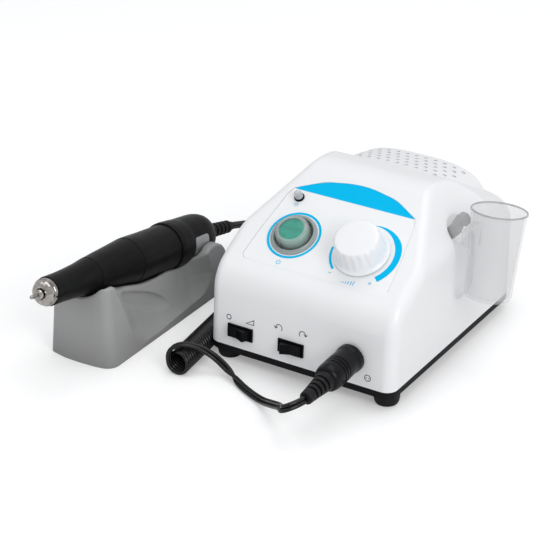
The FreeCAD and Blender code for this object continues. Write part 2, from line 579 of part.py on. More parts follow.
# Side scallops between the tower and the rear block
HAND_DIR = V(0, math.cos(math.radians(HAND_TILT)), -math.sin(math.radians(HAND_TILT)))
SCALLOP = [(-31.5, 46.0), (-12.0, 7.0), (0.0, 4.6), (54.0, 4.6), (63.5, 12.0), (66.0, 28.0), (60.0, 50.0),
           (60.0, 70.0), (-31.5, 70.0)]
side_cut = prism([V(CR, y, z) for y, z in SCALLOP], [3, 5, 12, 14, 10, 10, 0, 0, 0], V(40, 0, 0))
SLOPE_KEEP = [(-5.0, -5.0), (23.2, -5.0), (23.2, 5.2), (15.2, 30.0), (10.0, 60.0), (-5.0, 60.0)]
slope_keep = prism([V(CR + x, -60, z) for x, z in SLOPE_KEEP], [0, 0, 3, 20, 0, 0], V(0, 200, 0))
side_cut = side_cut.cut(slope_keep)
cradle = cradle.cut(side_cut)
cradle = cradle.cut(side_cut.mirror(V(CR, 0, 0), V(1, 0, 0)))
# Bed of the handpiece: nose notch, square grooves in the tower and the rear block, round trough between them
HAND_O = V(CR, -68.2, 43.7 + 78.2 * math.tan(math.radians(HAND_TILT)))
nose_notch = cylinder(20.0, 40, V(CR, -60, 62.2), V(0, 1, -0.02))
cradle = cradle.cut(nose_notch)
HAND_UP = V(1, 0, 0).cross(HAND_DIR)
GROOVES = [(-20.0, 34.0, 12.3, 11.0), (34.0, 44.0, 13.0, 13.0), (112.0, 175.0, 16.9, 15.6)]
for start, end, half, depth in GROOVES:
    groove = box(-half, half, start, end, -depth, 60)
    cradle = cradle.cut(placed(groove, HAND_O, V(1, 0, 0), HAND_DIR, HAND_UP))
BED = [(0, 42), (13.9, 42), (15.9, 66), (16.8, 80), (16.8, 113), (0, 113)]
cradle = cradle.cut(turned(BED, HAND_O, HAND_DIR))
hollow_corners = [V(CR - 19.8, -40.0, -1), V(CR + 19.6, -40.0, -1), V(CR + 19.6, 83.0, -1), V(CR - 19.8, 83.0, -1)]
hollow = Part.Face(rounded_wire(hollow_corners, [4, 4, 6, 6])).extrude(V(0, 0, 4.0))
cradle = cradle.cut(hollow)
save("handpiece_cradle", cradle)
pads = [cylinder(4.0, 2.9, V(CR + sx * 14.5, y, 0.0), OUT_Z) for sx in (-1, 1) for y in (-33.0, 76.0)]
save("cradle_pads", group(pads))

# Handpiece: sleeves, motor shell and rear cap along one axis


def hand(profile):
    """Turned piece of the handpiece, distances measured from its nose end."""
    return turned(profile, HAND_O, HAND_DIR)


save("bur_shank", hand([(0, -17.9), (0.95, -17.9), (SHANK_R, -17.4), (SHANK_R, -12.9), (GRIP_R, -12.6),
                        (GRIP_R, 14.0), (0, 14.0)]))
save("collet_nut", hand([(COLLET_R, -12.4), (1.8, -12.4), (1.9, -11.6), (2.5, -11.4), (2.9, -10.6), (2.9, -9.9),
                         (2.5, -9.5), (2.5, -1.0), (COLLET_R, -1.0)]))
save("nose_cone", hand([(3.4, -9.3), (4.6, -9.45), (5.9, -8.9), (6.9, -8.0), (7.45, -6.9), (7.6, -5.9), (7.6, -5.7),
                        (3.4, -5.7)]))
save("nose_ring", hand([(6.3, -5.68), (8.0, -5.68), (8.2, -5.4), (8.2, -3.5), (8.0, -3.2), (7.9, -3.2), (7.9, 2.4),
                        (6.3, 2.4)]))
save("nose_sleeve", hand([(7.95, -3.18), (8.55, -3.18), (8.75, -2.6), (8.78, 8.0), (9.17, 16.0), (9.69, 24.0),
                          (10.06, 28.0), (10.85, 34.0), (10.95, 34.9), (10.8, 35.2), (7.4, 35.2), (7.4, 2.5),
                          (7.95, 2.5)]))
save("twist_sleeve", hand([(7.6, 35.5), (10.9, 35.5), (11.1, 35.9), (11.38, 40.0), (12.21, 48.0), (12.85, 56.0),
                           (13.6, 64.0), (14.35, 72.0), (14.2, 72.7), (13.2, 72.7), (11.8, 60.0), (7.6, 39.0)]))
save("motor_shell", hand([(12.4, 73.0), (14.3, 73.0), (14.5, 73.4), (14.57, 76.0), (14.57, 80.0), (14.35, 90.0),
                          (14.36, 108.0), (14.36, 111.8), (14.1, 112.2), (12.2, 112.2), (12.2, 77.5), (12.4, 77.5)]))
save("rear_cap", hand([(12.25, 112.4), (14.9, 112.4), (15.3, 113.0), (15.43, 116.0), (15.0, 124.0), (14.58, 128.0),
                       (14.41, 136.0), (14.17, 144.0), (13.9, 147.0), (13.3, 150.0), (12.4, 152.6), (11.2, 154.4),
                       (9.8, HAND_BACK), (4.4, HAND_BACK), (4.4, 152.4), (9.4, 152.4), (12.0, 148.0),
                       (12.25, 140.0)]))
# Blank silver sticker wrapped on the right side of the rear cap
STICKER_FROM = 127.0
STICKER_TO = 141.7
sticker = hand([(14.72, STICKER_FROM), (14.92, STICKER_FROM), (14.62, STICKER_TO), (14.42, STICKER_TO)])
span = STICKER_TO - STICKER_FROM
patch = prism([V(0, 0, -11.0), V(0, span, -11.0), V(0, span, 6.2), V(0, 0, 6.2)], [2.0, 2.0, 2.0, 2.0], V(30, 0, 0))
patch = placed(patch, HAND_O + HAND_DIR * STICKER_FROM, V(1, 0, 0), HAND_DIR, V(1, 0, 0).cross(HAND_DIR))
save("cap_sticker", sticker.common(patch))

# Inside the handpiece: spindle, bearings, motor
spindle_housing = hand([(5.4, 2.6), (7.3, 2.6), (7.3, 5.0), (6.2, 5.0), (6.2, 46.0), (7.2, 46.0), (7.2, 48.0),
                        (6.2, 48.0), (6.2, 54.0), (5.4, 54.0)])
save("spindle_housing", spindle_housing)
bearing = [(2.65, 0), (5.35, 0), (5.35, 4.0), (2.65, 4.0)]
save("spindle_bearings", group([hand([(r, s + at) for r, s in bearing]) for at in (6.0, 46.0)]))
save("spindle_shaft", hand([(COLLET_R, -0.9), (2.55, -0.9), (2.55, 58.0), (0, 58.0), (0, 14.1), (COLLET_R, 14.1)]))
save("motor_can", hand([(2.4, 75.4), (11.9, 75.4), (11.9, 111.5), (10.0, 111.5), (10.0, 77.5), (2.4, 77.5)]))
magnet_split = box(-0.8, 0.8, 70, 120, -12, 12)
magnet_split = placed(magnet_split, HAND_O, V(1, 0, 0), HAND_DIR, V(1, 0, 0).cross(HAND_DIR))
magnets = hand([(9.2, 80.0), (9.95, 80.0), (9.95, 106.0), (9.2, 106.0)])
save("motor_magnets", magnets.cut(magnet_split))
save("motor_rotor", hand([(0, 58.05), (2.0, 58.05), (2.0, 81.0), (8.8, 81.0), (8.8, 105.0), (4.0, 105.5),
                          (4.0, 111.0),
                          (1.5, 111.0), (1.5, 116.0), (0, 116.0)]))
brush_shape = box(4.35, 9.0, 106.4, 110.6, -1.6, 1.6)
brush_shapes = []
for sign in (1, -1):
    brush_shapes.append(placed(brush_shape, HAND_O, V(sign, 0, 0), HAND_DIR, V(sign, 0, 0).cross(HAND_DIR)))
save("carbon_brushes", group(brush_shapes))

# Ribbed strain relief at the tail; it hangs a little lower than the handpiece axis
TAIL = HAND_O + HAND_DIR * 152.6
RELIEF_TILT = math.radians(14.4)
TAIL_DIR = V(0, math.cos(RELIEF_TILT), -math.sin(RELIEF_TILT))
TAIL_LONG = 37.0
RIBS = 5
ribs = [(0, 0), (4.0, 0), (4.0, 10.0)]
for i in range(RIBS):
    s = 12.6 + i * 4.6
    big = 4.65 - i * 0.13
    ribs += [(3.4, s - 1.5), (big, s - 1.2), (big, s + 1.2), (3.4, s + 1.5)]
ribs += [(2.9, TAIL_LONG - 2.6), (2.7, TAIL_LONG), (0, TAIL_LONG)]
save("handpiece_strain_relief", turned(ribs, TAIL, TAIL_DIR))
TAIL_END = TAIL + TAIL_DIR * TAIL_LONG
print("tail end", TAIL_END)

# Cord: stretch from the plug, coil, and stretch to the handpiece


def bent_path(points, name):
    """Straight runs joined by tangent arcs; prints the smallest bend radius."""
    edges = []
    last = points[0]
    least = 1e9
    for i in range(1, len(points) - 1):
        corner = points[i]
        before = points[i - 1] - corner
        after = points[i + 1] - corner
        shorter = min(before.Length, after.Length)
        before = before / before.Length
        after = after / after.Length
        half = math.acos(max(-1.0, min(1.0, before.dot(after)))) / 2
        turn = math.pi - 2 * half
        reach = 0.45 * shorter
        radius = reach / math.tan(turn / 2)
        least = min(least, radius)
        start = corner + before * reach
        end = corner + after * reach
        bisector = before + after
        bisector = bisector / bisector.Length
        middle = corner + bisector * (radius / math.sin(half) - radius)
        edges.append(Part.LineSegment(last, start).toShape())
        edges.append(Part.Arc(start, middle, end).toShape())
        last = end
    edges.append(Part.LineSegment(last, points[-1]).toShape())
    length = sum(edge.Length for edge in edges)
    print(name, "length", round(length, 1), "least bend radius", round(least, 2))
    return edges


def cord_tube(edges, diameter):
    """Round tube along a chain of edges."""
    wire = Part.Wire(edges)
    start = edges[0].valueAt(edges[0].FirstParameter)
    direction = edges[0].tangentAt(edges[0].FirstParameter)
    section = Part.Wire([Part.Circle(start, direction, diameter / 2).toShape()])
    tube = wire.makePipeShell([section], True, False)
    filled = tube.Volume / (math.pi * diameter ** 2 / 4 * wire.Length)
    print("tube volume over section times length", round(filled, 4))
    return tube


COIL_Z = COIL_R + CORD_D / 2 + 0.1


def coil_point(turns):
    """Point of the helix after some turns from the front end, and its direction."""
    angle = math.pi / 2 + 2 * math.pi * turns
    y = COIL_Y + COIL_PITCH * turns
    x = COIL_X - COIL_SLOPE * y
    point = V(x + COIL_R * math.cos(angle), y, COIL_Z + COIL_R * math.sin(angle))
    rate = 2 * math.pi * COIL_R
    way = V(-rate * math.sin(angle) - COIL_SLOPE * COIL_PITCH, COIL_PITCH, rate * math.cos(angle))
    return point, way / way.Length


def half_arc(start, corner, end):
    """Arc that leaves start towards corner and arrives at end from corner."""
    back = start - corner
    ahead = end - corner
    reach = back.Length
    back = back / reach
    ahead = ahead / ahead.Length
    half = math.acos(max(-1.0, min(1.0, back.dot(ahead)))) / 2
    radius = reach * math.tan(half)
    bisector = back + ahead
    bisector = bisector / bisector.Length
    return Part.Arc(start, corner + bisector * (radius / math.sin(half) - radius), end).toShape()


def two_arcs(p0, t0, p1, t1):
    """Two arcs that join two points and keep both directions."""
    gap = p1 - p0
    a = 2 * t0.dot(t1) - 2
    b = -2 * gap.dot(t0 + t1)
    c = gap.dot(gap)
    d = (-b - math.sqrt(b * b - 4 * a * c)) / (2 * a)
    q0 = p0 + t0 * d
    q1 = p1 - t1 * d
    joint = (q0 + q1) / 2
    return [half_arc(p0, q0, joint), half_arc(joint, q1, p1)]


# The first turn rises off the coil, over its top, and leaves to the right
FRONT_EXIT = V(-59.2, -17.6, 16.1)
front_way = V(-0.93, -0.30, 0.33)
front_way = front_way / front_way.Length
over_top = V(-65.2, -20.6, 17.0)
over_way = V(-1, -0.42, 0.0)
over_way = over_way / over_way.Length
first, first_way = coil_point(0.25)
coil_edges = two_arcs(FRONT_EXIT, front_way, over_top, over_way) + two_arcs(over_top, over_way, first, first_way)
turns = 0.25
while turns < COIL_TURNS:
    following = min(turns + 0.5, COIL_TURNS)
    start, start_way = coil_point(turns)
    end, end_way = coil_point(following)
    coil_edges += two_arcs(start, start_way, end, end_way)
    turns = following
last, last_way = coil_point(COIL_TURNS)
REAR_EXIT = last + last_way * CORD_D
coil_edges.append(Part.LineSegment(last, REAR_EXIT).toShape())
coil_marks = []
MARKS = 6
for edge in coil_edges:
    span = edge.LastParameter - edge.FirstParameter
    for k in range(MARKS):
        coil_marks.append(edge.valueAt(edge.FirstParameter + span * k / MARKS))
nearest = 1e9
for i in range(len(coil_marks)):
    for j in range(i + 16, min(i + 40, len(coil_marks))):
        nearest = min(nearest, (coil_marks[i] - coil_marks[j]).Length)
print("coil least gap to itself", round(nearest - CORD_D, 3), "length", round(sum(e.Length for e in coil_edges), 1))
save("coil_cord", cord_tube(coil_edges, CORD_D))

lead_points = [FRONT_EXIT, FRONT_EXIT - front_way * 7.5, V(-46.5, -13.4, 9.4), V(-38.5, -13.8, 4.4),
               V(-27.0, -20.8, 1.95), V(-15.7, -26.4, 1.95), V(-4.5, -31.3, 3.2), V(6.5, -39.5, 9.2),
               V(19.2, -48.9, 16.2), V(27.45, -62.7, 23.8), RELIEF_END + PLUG_AXIS * 4.15, RELIEF_END]
save("lead_cord", cord_tube(bent_path(lead_points, "lead"), CORD_D))

rear_points = [TAIL_END + TAIL_DIR * 0.15, V(-123.0, 131.0, 17.2), V(-123.0, 146.0, 11.9), V(-118.5, 160.0, 6.6),
               V(-106.5, 164.5, 3.4), V(-96.5, 156.0, 2.1), V(-94.5, 143.0, 2.0), V(-95.5, 129.0, 2.6),
               V(-100.5, 116.0, 6.5), V(-99.5, 100.5, 12.4), REAR_EXIT + last_way * 3.0, REAR_EXIT]
save("handpiece_cord", cord_tube(bent_path(rear_points, "handpiece cord"), CORD_D))

print("nodes", len(SAVED))
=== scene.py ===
import bpy
import json
import math
from mathutils import Matrix, Vector


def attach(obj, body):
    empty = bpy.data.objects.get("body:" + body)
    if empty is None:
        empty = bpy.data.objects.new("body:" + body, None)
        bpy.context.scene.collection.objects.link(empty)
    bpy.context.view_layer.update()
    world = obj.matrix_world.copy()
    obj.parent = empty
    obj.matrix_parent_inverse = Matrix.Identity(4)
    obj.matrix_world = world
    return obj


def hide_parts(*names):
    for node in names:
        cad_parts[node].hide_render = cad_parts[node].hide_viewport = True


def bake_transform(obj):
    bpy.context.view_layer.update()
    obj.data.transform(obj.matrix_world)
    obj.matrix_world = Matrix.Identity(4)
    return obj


# Nail drill machine on a pale table. Lengths are written in millimetres in the control box frame:
# X to the right of the box, Y to its rear, Z up, origin at the middle of its front edge on the floor.

MM = 0.001
PLACE = Vector((23.15, -41.15, 0.0))

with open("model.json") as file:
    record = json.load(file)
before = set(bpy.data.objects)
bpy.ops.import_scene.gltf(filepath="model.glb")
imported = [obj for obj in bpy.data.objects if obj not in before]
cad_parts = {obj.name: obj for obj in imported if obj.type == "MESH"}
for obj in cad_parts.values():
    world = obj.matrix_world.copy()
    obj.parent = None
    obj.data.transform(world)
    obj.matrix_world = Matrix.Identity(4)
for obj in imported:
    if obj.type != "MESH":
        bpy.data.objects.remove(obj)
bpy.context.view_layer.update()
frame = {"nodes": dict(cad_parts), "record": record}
nodes = frame["nodes"]


def at(x, y, z):
    """Point of the control box frame in the row frame, in metres."""
    return (Vector((x, y, z)) + PLACE) * MM


# Frames of the sloping panel, of the leaning front face and of the handpiece, as in the CAD
SLOPE = math.radians(29.67)
LEAN = math.radians(4.0)
PANEL_O = Vector((0, 24.0, 56.03 + 24.0 * math.tan(SLOPE)))
PANEL_V = Vector((0, math.cos(SLOPE), math.sin(SLOPE)))
PANEL_N = Vector((0, -math.sin(SLOPE), math.cos(SLOPE)))
FRONT_O = Vector((0, 0, 12.0))
FRONT_V = Vector((0, math.sin(LEAN), math.cos(LEAN)))
FRONT_N = Vector((0, -math.cos(LEAN), math.sin(LEAN)))
SIDE = Vector((1, 0, 0))
HAND_TILT = math.radians(10.2)
HAND_DIR = Vector((0, math.cos(HAND_TILT), -math.sin(HAND_TILT)))
HAND_O = Vector((-123.0, -68.2, 43.7 + 78.2 * math.tan(HAND_TILT)))


def on_panel(u, v, w):
    """Point in panel coordinates."""
    return at(*(PANEL_O + SIDE * u + PANEL_V * v + PANEL_N * w))


def on_front(x, s, w):
    """Point on the front face: across, up the face, out of it."""
    return at(*(FRONT_O + SIDE * x + FRONT_V * s + FRONT_N * w))


# Camera, solved from the photo
CAMERA_AT = Vector((518.3, -850.0, 587.6))
LOOK_AT = Vector((-27.0, 24.0, 50.0))
LENS = 128.44
camera_data = bpy.data.cameras.new("camera")
camera_data.lens = LENS
camera_data.sensor_width = 36.0
camera_data.clip_start = 0.05
camera_data.clip_end = 20.0
camera = bpy.data.objects.new("camera", camera_data)
bpy.context.scene.collection.objects.link(camera)
camera.location = at(*CAMERA_AT)
camera.rotation_mode = "QUATERNION"
camera.rotation_quaternion = (LOOK_AT - CAMERA_AT).to_track_quat("-Z", "Y")
bpy.context.scene.camera = camera


# Mesh helpers

def make_piece(name, vertices, faces, material, body="machine", smooth=True, sharp=40.0):
    """Mesh object from vertices in metres, riding on a body."""
    mesh = bpy.data.meshes.new(name)
    mesh.from_pydata([tuple(v) for v in vertices], [], faces)
    mesh.update()
    if smooth:
        mesh.polygons.foreach_set("use_smooth", [True] * len(mesh.polygons))
        mesh.set_sharp_from_angle(angle=math.radians(sharp))
    mesh.materials.append(material)
    piece = bpy.data.objects.new(name, mesh)
    bpy.context.scene.collection.objects.link(piece)
    if body:
        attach(piece, body)
    return piece


def smooth_line(points, finest):
    """Points read from the smooth spline whose control points are given, at least so far apart."""
    curve = bpy.data.curves.new("route", "CURVE")
    curve.dimensions = "3D"
    spline = curve.splines.new("NURBS")
    spline.points.add(len(points) - 1)
    for point, place in zip(spline.points, points):
        point.co = (place.x, place.y, place.z, 1.0)
    spline.order_u = 3
    spline.use_endpoint_u = True
    spline.resolution_u = 12
    holder = bpy.data.objects.new("route", curve)
    mesh = bpy.data.meshes.new_from_object(holder)
    read = [vertex.co.copy() for vertex in mesh.vertices]
    bpy.data.meshes.remove(mesh)
    bpy.data.objects.remove(holder)
    bpy.data.curves.remove(curve)
    line = [read[0]]
    for place in read:
        if (place - line[-1]).length > finest:
            line.append(place)
    line[-1] = read[-1]
    return line


# Materials

COAT_ROUGH = 0.12
LEAST_ROUGH = 0.02
GRAIN_HEIGHT = 0.0004
NODE_SHARP = 32


def material(name, color, rough, metal=0.0, coat=0.0, ior=1.46, tone=0.03, tone_scale=60.0,
             grain=0.05, grain_scale=900.0, rough_swing=0.06, stretch=(1, 1, 1), alpha=1.0, gloss=0.5):
    """Procedural material: colour that drifts a little, uneven roughness and a fine surface grain."""
    mat = bpy.data.materials.new(name)
    mat.use_nodes = True
    tree = mat.node_tree
    shader = tree.nodes["Principled BSDF"]
    shader.inputs["Metallic"].default_value = metal
    shader.inputs["IOR"].default_value = ior
    shader.inputs["Specular IOR Level"].default_value = gloss
    shader.inputs["Coat Weight"].default_value = coat
    shader.inputs["Coat Roughness"].default_value = COAT_ROUGH
    shader.inputs["Alpha"].default_value = alpha
    place = tree.nodes.new("ShaderNodeTexCoord")
    scaled = tree.nodes.new("ShaderNodeMapping")
    scaled.inputs["Scale"].default_value = stretch
    tree.links.new(place.outputs["Object"], scaled.inputs["Vector"])
    drift = tree.nodes.new("ShaderNodeTexNoise")
    drift.inputs["Scale"].default_value = tone_scale
    drift.inputs["Detail"].default_value = 3.0
    tree.links.new(scaled.outputs["Vector"], drift.inputs["Vector"])
    mix = tree.nodes.new("ShaderNodeMix")
    mix.data_type = "RGBA"
    dark = [c * (1 - tone) for c in color]
    light = [min(1.0, c * (1 + tone)) for c in color]
    mix.inputs["A"].default_value = (*dark, 1)
    mix.inputs["B"].default_value = (*light, 1)
    tree.links.new(drift.outputs["Fac"], mix.inputs["Factor"])
    tree.links.new(mix.outputs["Result"], shader.inputs["Base Color"])
    uneven = tree.nodes.new("ShaderNodeMapRange")
    uneven.inputs["To Min"].default_value = max(LEAST_ROUGH, rough - rough_swing)
    uneven.inputs["To Max"].default_value = min(1.0, rough + rough_swing)
    tree.links.new(drift.outputs["Fac"], uneven.inputs["Value"])
    tree.links.new(uneven.outputs["Result"], shader.inputs["Roughness"])
    if grain > 0:
        fine = tree.nodes.new("ShaderNodeTexNoise")
        fine.inputs["Scale"].default_value = grain_scale
        fine.inputs["Detail"].default_value = 2.0
        tree.links.new(scaled.outputs["Vector"], fine.inputs["Vector"])
        bump = tree.nodes.new("ShaderNodeBump")
        bump.inputs["Strength"].default_value = grain
        bump.inputs["Distance"].default_value = GRAIN_HEIGHT
        tree.links.new(fine.outputs["Fac"], bump.inputs["Height"])
        tree.links.new(bump.outputs["Normal"], shader.inputs["Normal"])
    return mat


WHITE = (0.84, 0.85, 0.86)
MATERIALS = {
    "housing_white": material("housing_white", WHITE, 0.32, coat=0.1, tone=0.008, grain=0.03),
    "panel_white": material("panel_white", (0.85, 0.86, 0.87), 0.36, tone=0.008, grain=0.02),
    "knob_white": material("knob_white", (0.86, 0.87, 0.89), 0.30, coat=0.1, tone=0.01, grain=0.03),
    "base_black": material("base_black", (0.006, 0.006, 0.007), 0.5, grain=0.2, gloss=0.15),
    "rubber_black": material("rubber_black", (0.008, 0.008, 0.009), 0.5, grain=0.15, gloss=0.25),
    "steel": material("steel", (0.42, 0.40, 0.39), 0.22, metal=1.0, stretch=(1, 1, 8)),
    "switch_black": material("switch_black", (0.003, 0.003, 0.004), 0.35, grain=0.05, gloss=0.12),
    "clear_grey": material("clear_grey", (0.36, 0.40, 0.39), 0.16, tone=0.10, tone_scale=200.0, ior=1.42,
                           alpha=0.85),
    "green_lens": material("green_lens", (0.018, 0.30, 0.22), 0.30, coat=0.2, tone=0.45, tone_scale=300.0),
    "lamp_clear": material("lamp_clear", (0.62, 0.64, 0.66), 0.10, tone=0.05, tone_scale=400.0, alpha=0.7),
    "plug_black": material("plug_black", (0.003, 0.003, 0.004), 0.30, grain=0.12, gloss=0.22),
    "brass": material("brass", (0.75, 0.58, 0.28), 0.25, metal=1.0),
    "board_green": material("board_green", (0.02, 0.16, 0.06), 0.4, tone=0.1),
    "capacitor_blue": material("capacitor_blue", (0.03, 0.05, 0.18), 0.35),
    "aluminium": material("aluminium", (0.70, 0.70, 0.71), 0.35, metal=1.0),
    "iron": material("iron", (0.14, 0.14, 0.145), 0.5, metal=0.8, stretch=(1, 40, 1)),
    "winding_tape": material("winding_tape", (0.62, 0.47, 0.08), 0.35),
    "cup_frosted": material("cup_frosted", (0.70, 0.70, 0.71), 0.25, tone=0.10, tone_scale=260.0, gloss=0.6,
                            grain=0.10, stretch=(1, 1, 0.05), alpha=0.24),
    "bracket_smoke": material("bracket_smoke", (0.40, 0.40, 0.40), 0.10, tone=0.25, tone_scale=260.0,
                              gloss=0.9, alpha=0.62),
    "cradle_grey": material("cradle_grey", (0.31, 0.31, 0.31), 0.42, tone=0.02, grain=0.06, gloss=0.35),
    # The chrome's base colour swings strongly between dark and light patches: painted reflections and
    # highlights
    "chrome": material("chrome", (0.46, 0.43, 0.40), 0.10, metal=1.0, tone=0.75, tone_scale=330.0),
    "hand_black": material("hand_black", (0.0060, 0.0060, 0.0062), 0.36, grain=0.10, stretch=(1, 0.05, 1),
                           tone=0.9, tone_scale=520.0, rough_swing=0.16, gloss=0.13),
    "sticker_silver": material("sticker_silver", (0.42, 0.42, 0.43), 0.30, metal=0.8, tone=0.75,
                               tone_scale=260.0, stretch=(1, 0.2, 1)),
    "magnet_grey": material("magnet_grey", (0.08, 0.08, 0.085), 0.5),
    "cord_black": material("cord_black", (0.004, 0.004, 0.005), 0.24, grain=0.05, gloss=0.45),
}
INK_BLUE = material("ink_blue", (0.0, 0.48, 0.82), 0.5, tone=0.02, grain=0.02, gloss=0.06)
INK_LIGHT = material("ink_light", (0.06, 0.50, 0.78), 0.5, tone=0.02, grain=0.02, gloss=0.06)
INK_DARK = material("ink_dark", (0.035, 0.035, 0.04), 0.45, tone=0.05, grain=0.02)

for part in frame["record"]["subparts"]:
    node = nodes[part["node"]]
    node.data.materials.clear()
    node.data.materials.append(MATERIALS[part["material_slot"]])
    node.data.polygons.foreach_set("use_smooth", [True] * len(node.data.polygons))
    node.data.polygons.foreach_set("material_index", [0] * len(node.data.polygons))
    node.data.set_sharp_from_angle(angle=math.radians(NODE_SHARP))

# Painted shade on the cradle: an ambient occlusion node darkens its grey where the handpiece hangs close over
# it, and lightens it a little in the open
PAINTED_SHADE_REACH = 0.030
PAINTED_SHADE_DARK = 0.42
PAINTED_LIGHT_LIFT = 1.12
tree = MATERIALS["cradle_grey"].node_tree
painted_shade_ao = tree.nodes.new("ShaderNodeAmbientOcclusion")
painted_shade_ao.inputs["Distance"].default_value = PAINTED_SHADE_REACH
shade = tree.nodes.new("ShaderNodeMapRange")
shade.inputs["To Min"].default_value = PAINTED_SHADE_DARK
shade.inputs["To Max"].default_value = PAINTED_LIGHT_LIFT
tree.links.new(painted_shade_ao.outputs["AO"], shade.inputs["Value"])
darken = tree.nodes.new("ShaderNodeVectorMath")
darken.operation = "SCALE"
shader = tree.nodes["Principled BSDF"]
tree.links.new(shader.inputs["Base Color"].links[0].from_socket, darken.inputs[0])
tree.links.new(shade.outputs["Result"], darken.inputs["Scale"])
tree.links.new(darken.outputs["Vector"], shader.inputs["Base Color"])

# Power button and speed knob: turned about the panel's normal

# The cover's wall gets a lighter, more opaque copy of its clear plastic: painted sheen standing in for the
# light the wall catches
COVER_CLEAR = material("cover_clear", (0.30, 0.52, 0.46), 0.08, tone=0.05, ior=1.45, alpha=0.12, gloss=0.9)
COVER_WALL_SHEEN = material("cover_wall_painted_sheen", (0.62, 0.68, 0.64), 0.10, tone=0.12, tone_scale=300.0, alpha=0.42,
                      gloss=0.9)
POWER = (-24.0, 12.0)
SPEED = (21.5, 12.3)
TURN_STEPS = 160
FLUTE_EASE_LOW = 1.2
FLUTE_EASE_HIGH = 0.9


def share(value, start, end):
    """How far a value is from start to end, from 0 to 1, easing in and out."""
    t = min(1.0, max(0.0, (value - start) / (end - start)))
    return t * t * (3 - 2 * t)


def turned_piece(name, profile, centre, material, body, flutes=0, flute_deep=0.0, flute_from=0.0,
                 flute_to=0.0):
    """Piece turned about a line square to the panel, with flutes between two heights."""
    vertices = []
    faces = []
    for k in range(TURN_STEPS):
        angle = 2 * math.pi * k / TURN_STEPS
        for r, w in profile:
            cut = 0.0
            if flutes:
                start = share(w, flute_from, flute_from + FLUTE_EASE_LOW)
                end = share(w, flute_to - FLUTE_EASE_HIGH, flute_to)
                ease = start * (1 - end)
                cut = flute_deep * ease * (0.5 - 0.5 * math.cos(flutes * angle))
            reach = r - cut
            u = centre[0] + reach * math.cos(angle)
            v = centre[1] + reach * math.sin(angle)
            vertices.append(on_panel(u, v, w))
    rows = len(profile)
    for k in range(TURN_STEPS):
        m = (k + 1) % TURN_STEPS
        for i in range(rows - 1):
            faces.append([k * rows + i, m * rows + i, m * rows + i + 1, k * rows + i + 1])
    return make_piece(name, vertices, faces, material, body=body, sharp=38.0)


BOOT_PROFILE = [(11.3, -2.6), (14.0, -2.6), (14.2, 0.1), (14.0, 0.7), (13.3, 0.9), (12.9, 1.5), (12.4, 1.8),
                (11.9, 1.5), (11.5, 0.4), (11.1, -2.0), (10.4, -2.4), (10.3, -2.5), (11.3, -2.6)]
COVER_PROFILE = [(9.6, -2.0), (10.15, -1.9), (10.2, 3.6), (10.1, 4.6), (9.7, 5.5), (9.0, 6.1), (8.3, 6.3),
                 (7.6, 6.1), (7.0, 6.0), (5.0, 6.1), (0.01, 6.2)]
boot = turned_piece("boot_ring", BOOT_PROFILE, POWER, MATERIALS["clear_grey"], "machine")
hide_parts("power_boot_ring")
cover = turned_piece("cap_cover", COVER_PROFILE, POWER, COVER_WALL_SHEEN, "power_button")
cover.data.materials.append(COVER_CLEAR)
COVER_ROWS = 10
WALL_ROWS = 7
# Wall rows take the lighter painted-sheen copy, the top rows the clear plastic
for i, face in enumerate(cover.data.polygons):
    face.material_index = 0 if i % COVER_ROWS < WALL_ROWS else 1
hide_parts("power_cap_cover")
KNOB_R = 14.9
KNOB_LOW = 2.8
KNOB_ROWS = 12
KNOB_TAPER = 0.105
knob_profile = [(3.0, 0.4), (16.2, 0.4), (16.5, 0.7), (16.4, 1.3), (15.6, 1.9), (15.1, 2.3),
                (KNOB_R, KNOB_LOW)]
for i in range(1, KNOB_ROWS):
    knob_profile.append((KNOB_R - KNOB_TAPER * i, KNOB_LOW + i))
knob_profile += [(13.35, 14.4), (13.0, 14.9), (12.4, 15.25), (11.4, 15.45), (8.0, 15.55), (0.01, 15.6)]
knob = turned_piece("knob_body", knob_profile, SPEED, MATERIALS["knob_white"], "speed_dial",
                    flutes=20, flute_deep=0.45, flute_from=2.6, flute_to=15.2)
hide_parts("speed_knob")

# Cord: one flat twin lead, from the handpiece to the coil and on to the plug

STRAND_R = 1.22
STRAND_GAP = 1.20
CORD_D = 3.4
CAD_COIL_R = 5.6
COIL_R = 6.25
COIL_PITCH = 4.8
COIL_TURNS = 25
COIL_Y = -23.7
COIL_X = -68.3
COIL_SLOPE = 0.12
COIL_Z = CAD_COIL_R + CORD_D / 2 + 0.1
COIL_STEPS = 16
EXTRA_STEPS = 3 * COIL_STEPS // 4


def coil_point(turns, r):
    """Point of the helix after some turns from the front end, and its direction."""
    angle = math.pi / 2 + 2 * math.pi * turns
    y = COIL_Y + COIL_PITCH * turns
    x = COIL_X - COIL_SLOPE * y
    rate = 2 * math.pi * r
    way = Vector((-rate * math.sin(angle) - COIL_SLOPE * COIL_PITCH, COIL_PITCH, rate * math.cos(angle)))
    return Vector((x + r * math.cos(angle), y, COIL_Z + r * math.sin(angle))), way.normalized()


PLUG_DROOP = math.radians(2.3)
PLUG_AXIS = Vector((0, -math.cos(PLUG_DROOP), -math.sin(PLUG_DROOP)))
SOCKET_ACROSS = 34.94
SOCKET_UP = 16.51
PLUG_STEP = 1.2
PLUG_LONG = 27.8
RELIEF_LONG = 21.3
HAND_LONG = 152.6
TAIL_LONG = 37.0
SOCKET_P = FRONT_O + SIDE * SOCKET_ACROSS + FRONT_V * SOCKET_UP
RELIEF_END = SOCKET_P + PLUG_AXIS * (PLUG_STEP + PLUG_LONG + RELIEF_LONG)
RELIEF_TILT = math.radians(14.4)
TAIL_DIR = Vector((0, math.cos(RELIEF_TILT), -math.sin(RELIEF_TILT)))
TAIL_END = HAND_O + HAND_DIR * HAND_LONG + TAIL_DIR * TAIL_LONG
last, last_way = coil_point(COIL_TURNS, CAD_COIL_R)
REAR_EXIT = last + last_way * CORD_D
FRONT_EXIT = Vector((-59.2, -17.6, 16.1))
front_way = Vector((-0.93, -0.30, 0.33)).normalized()
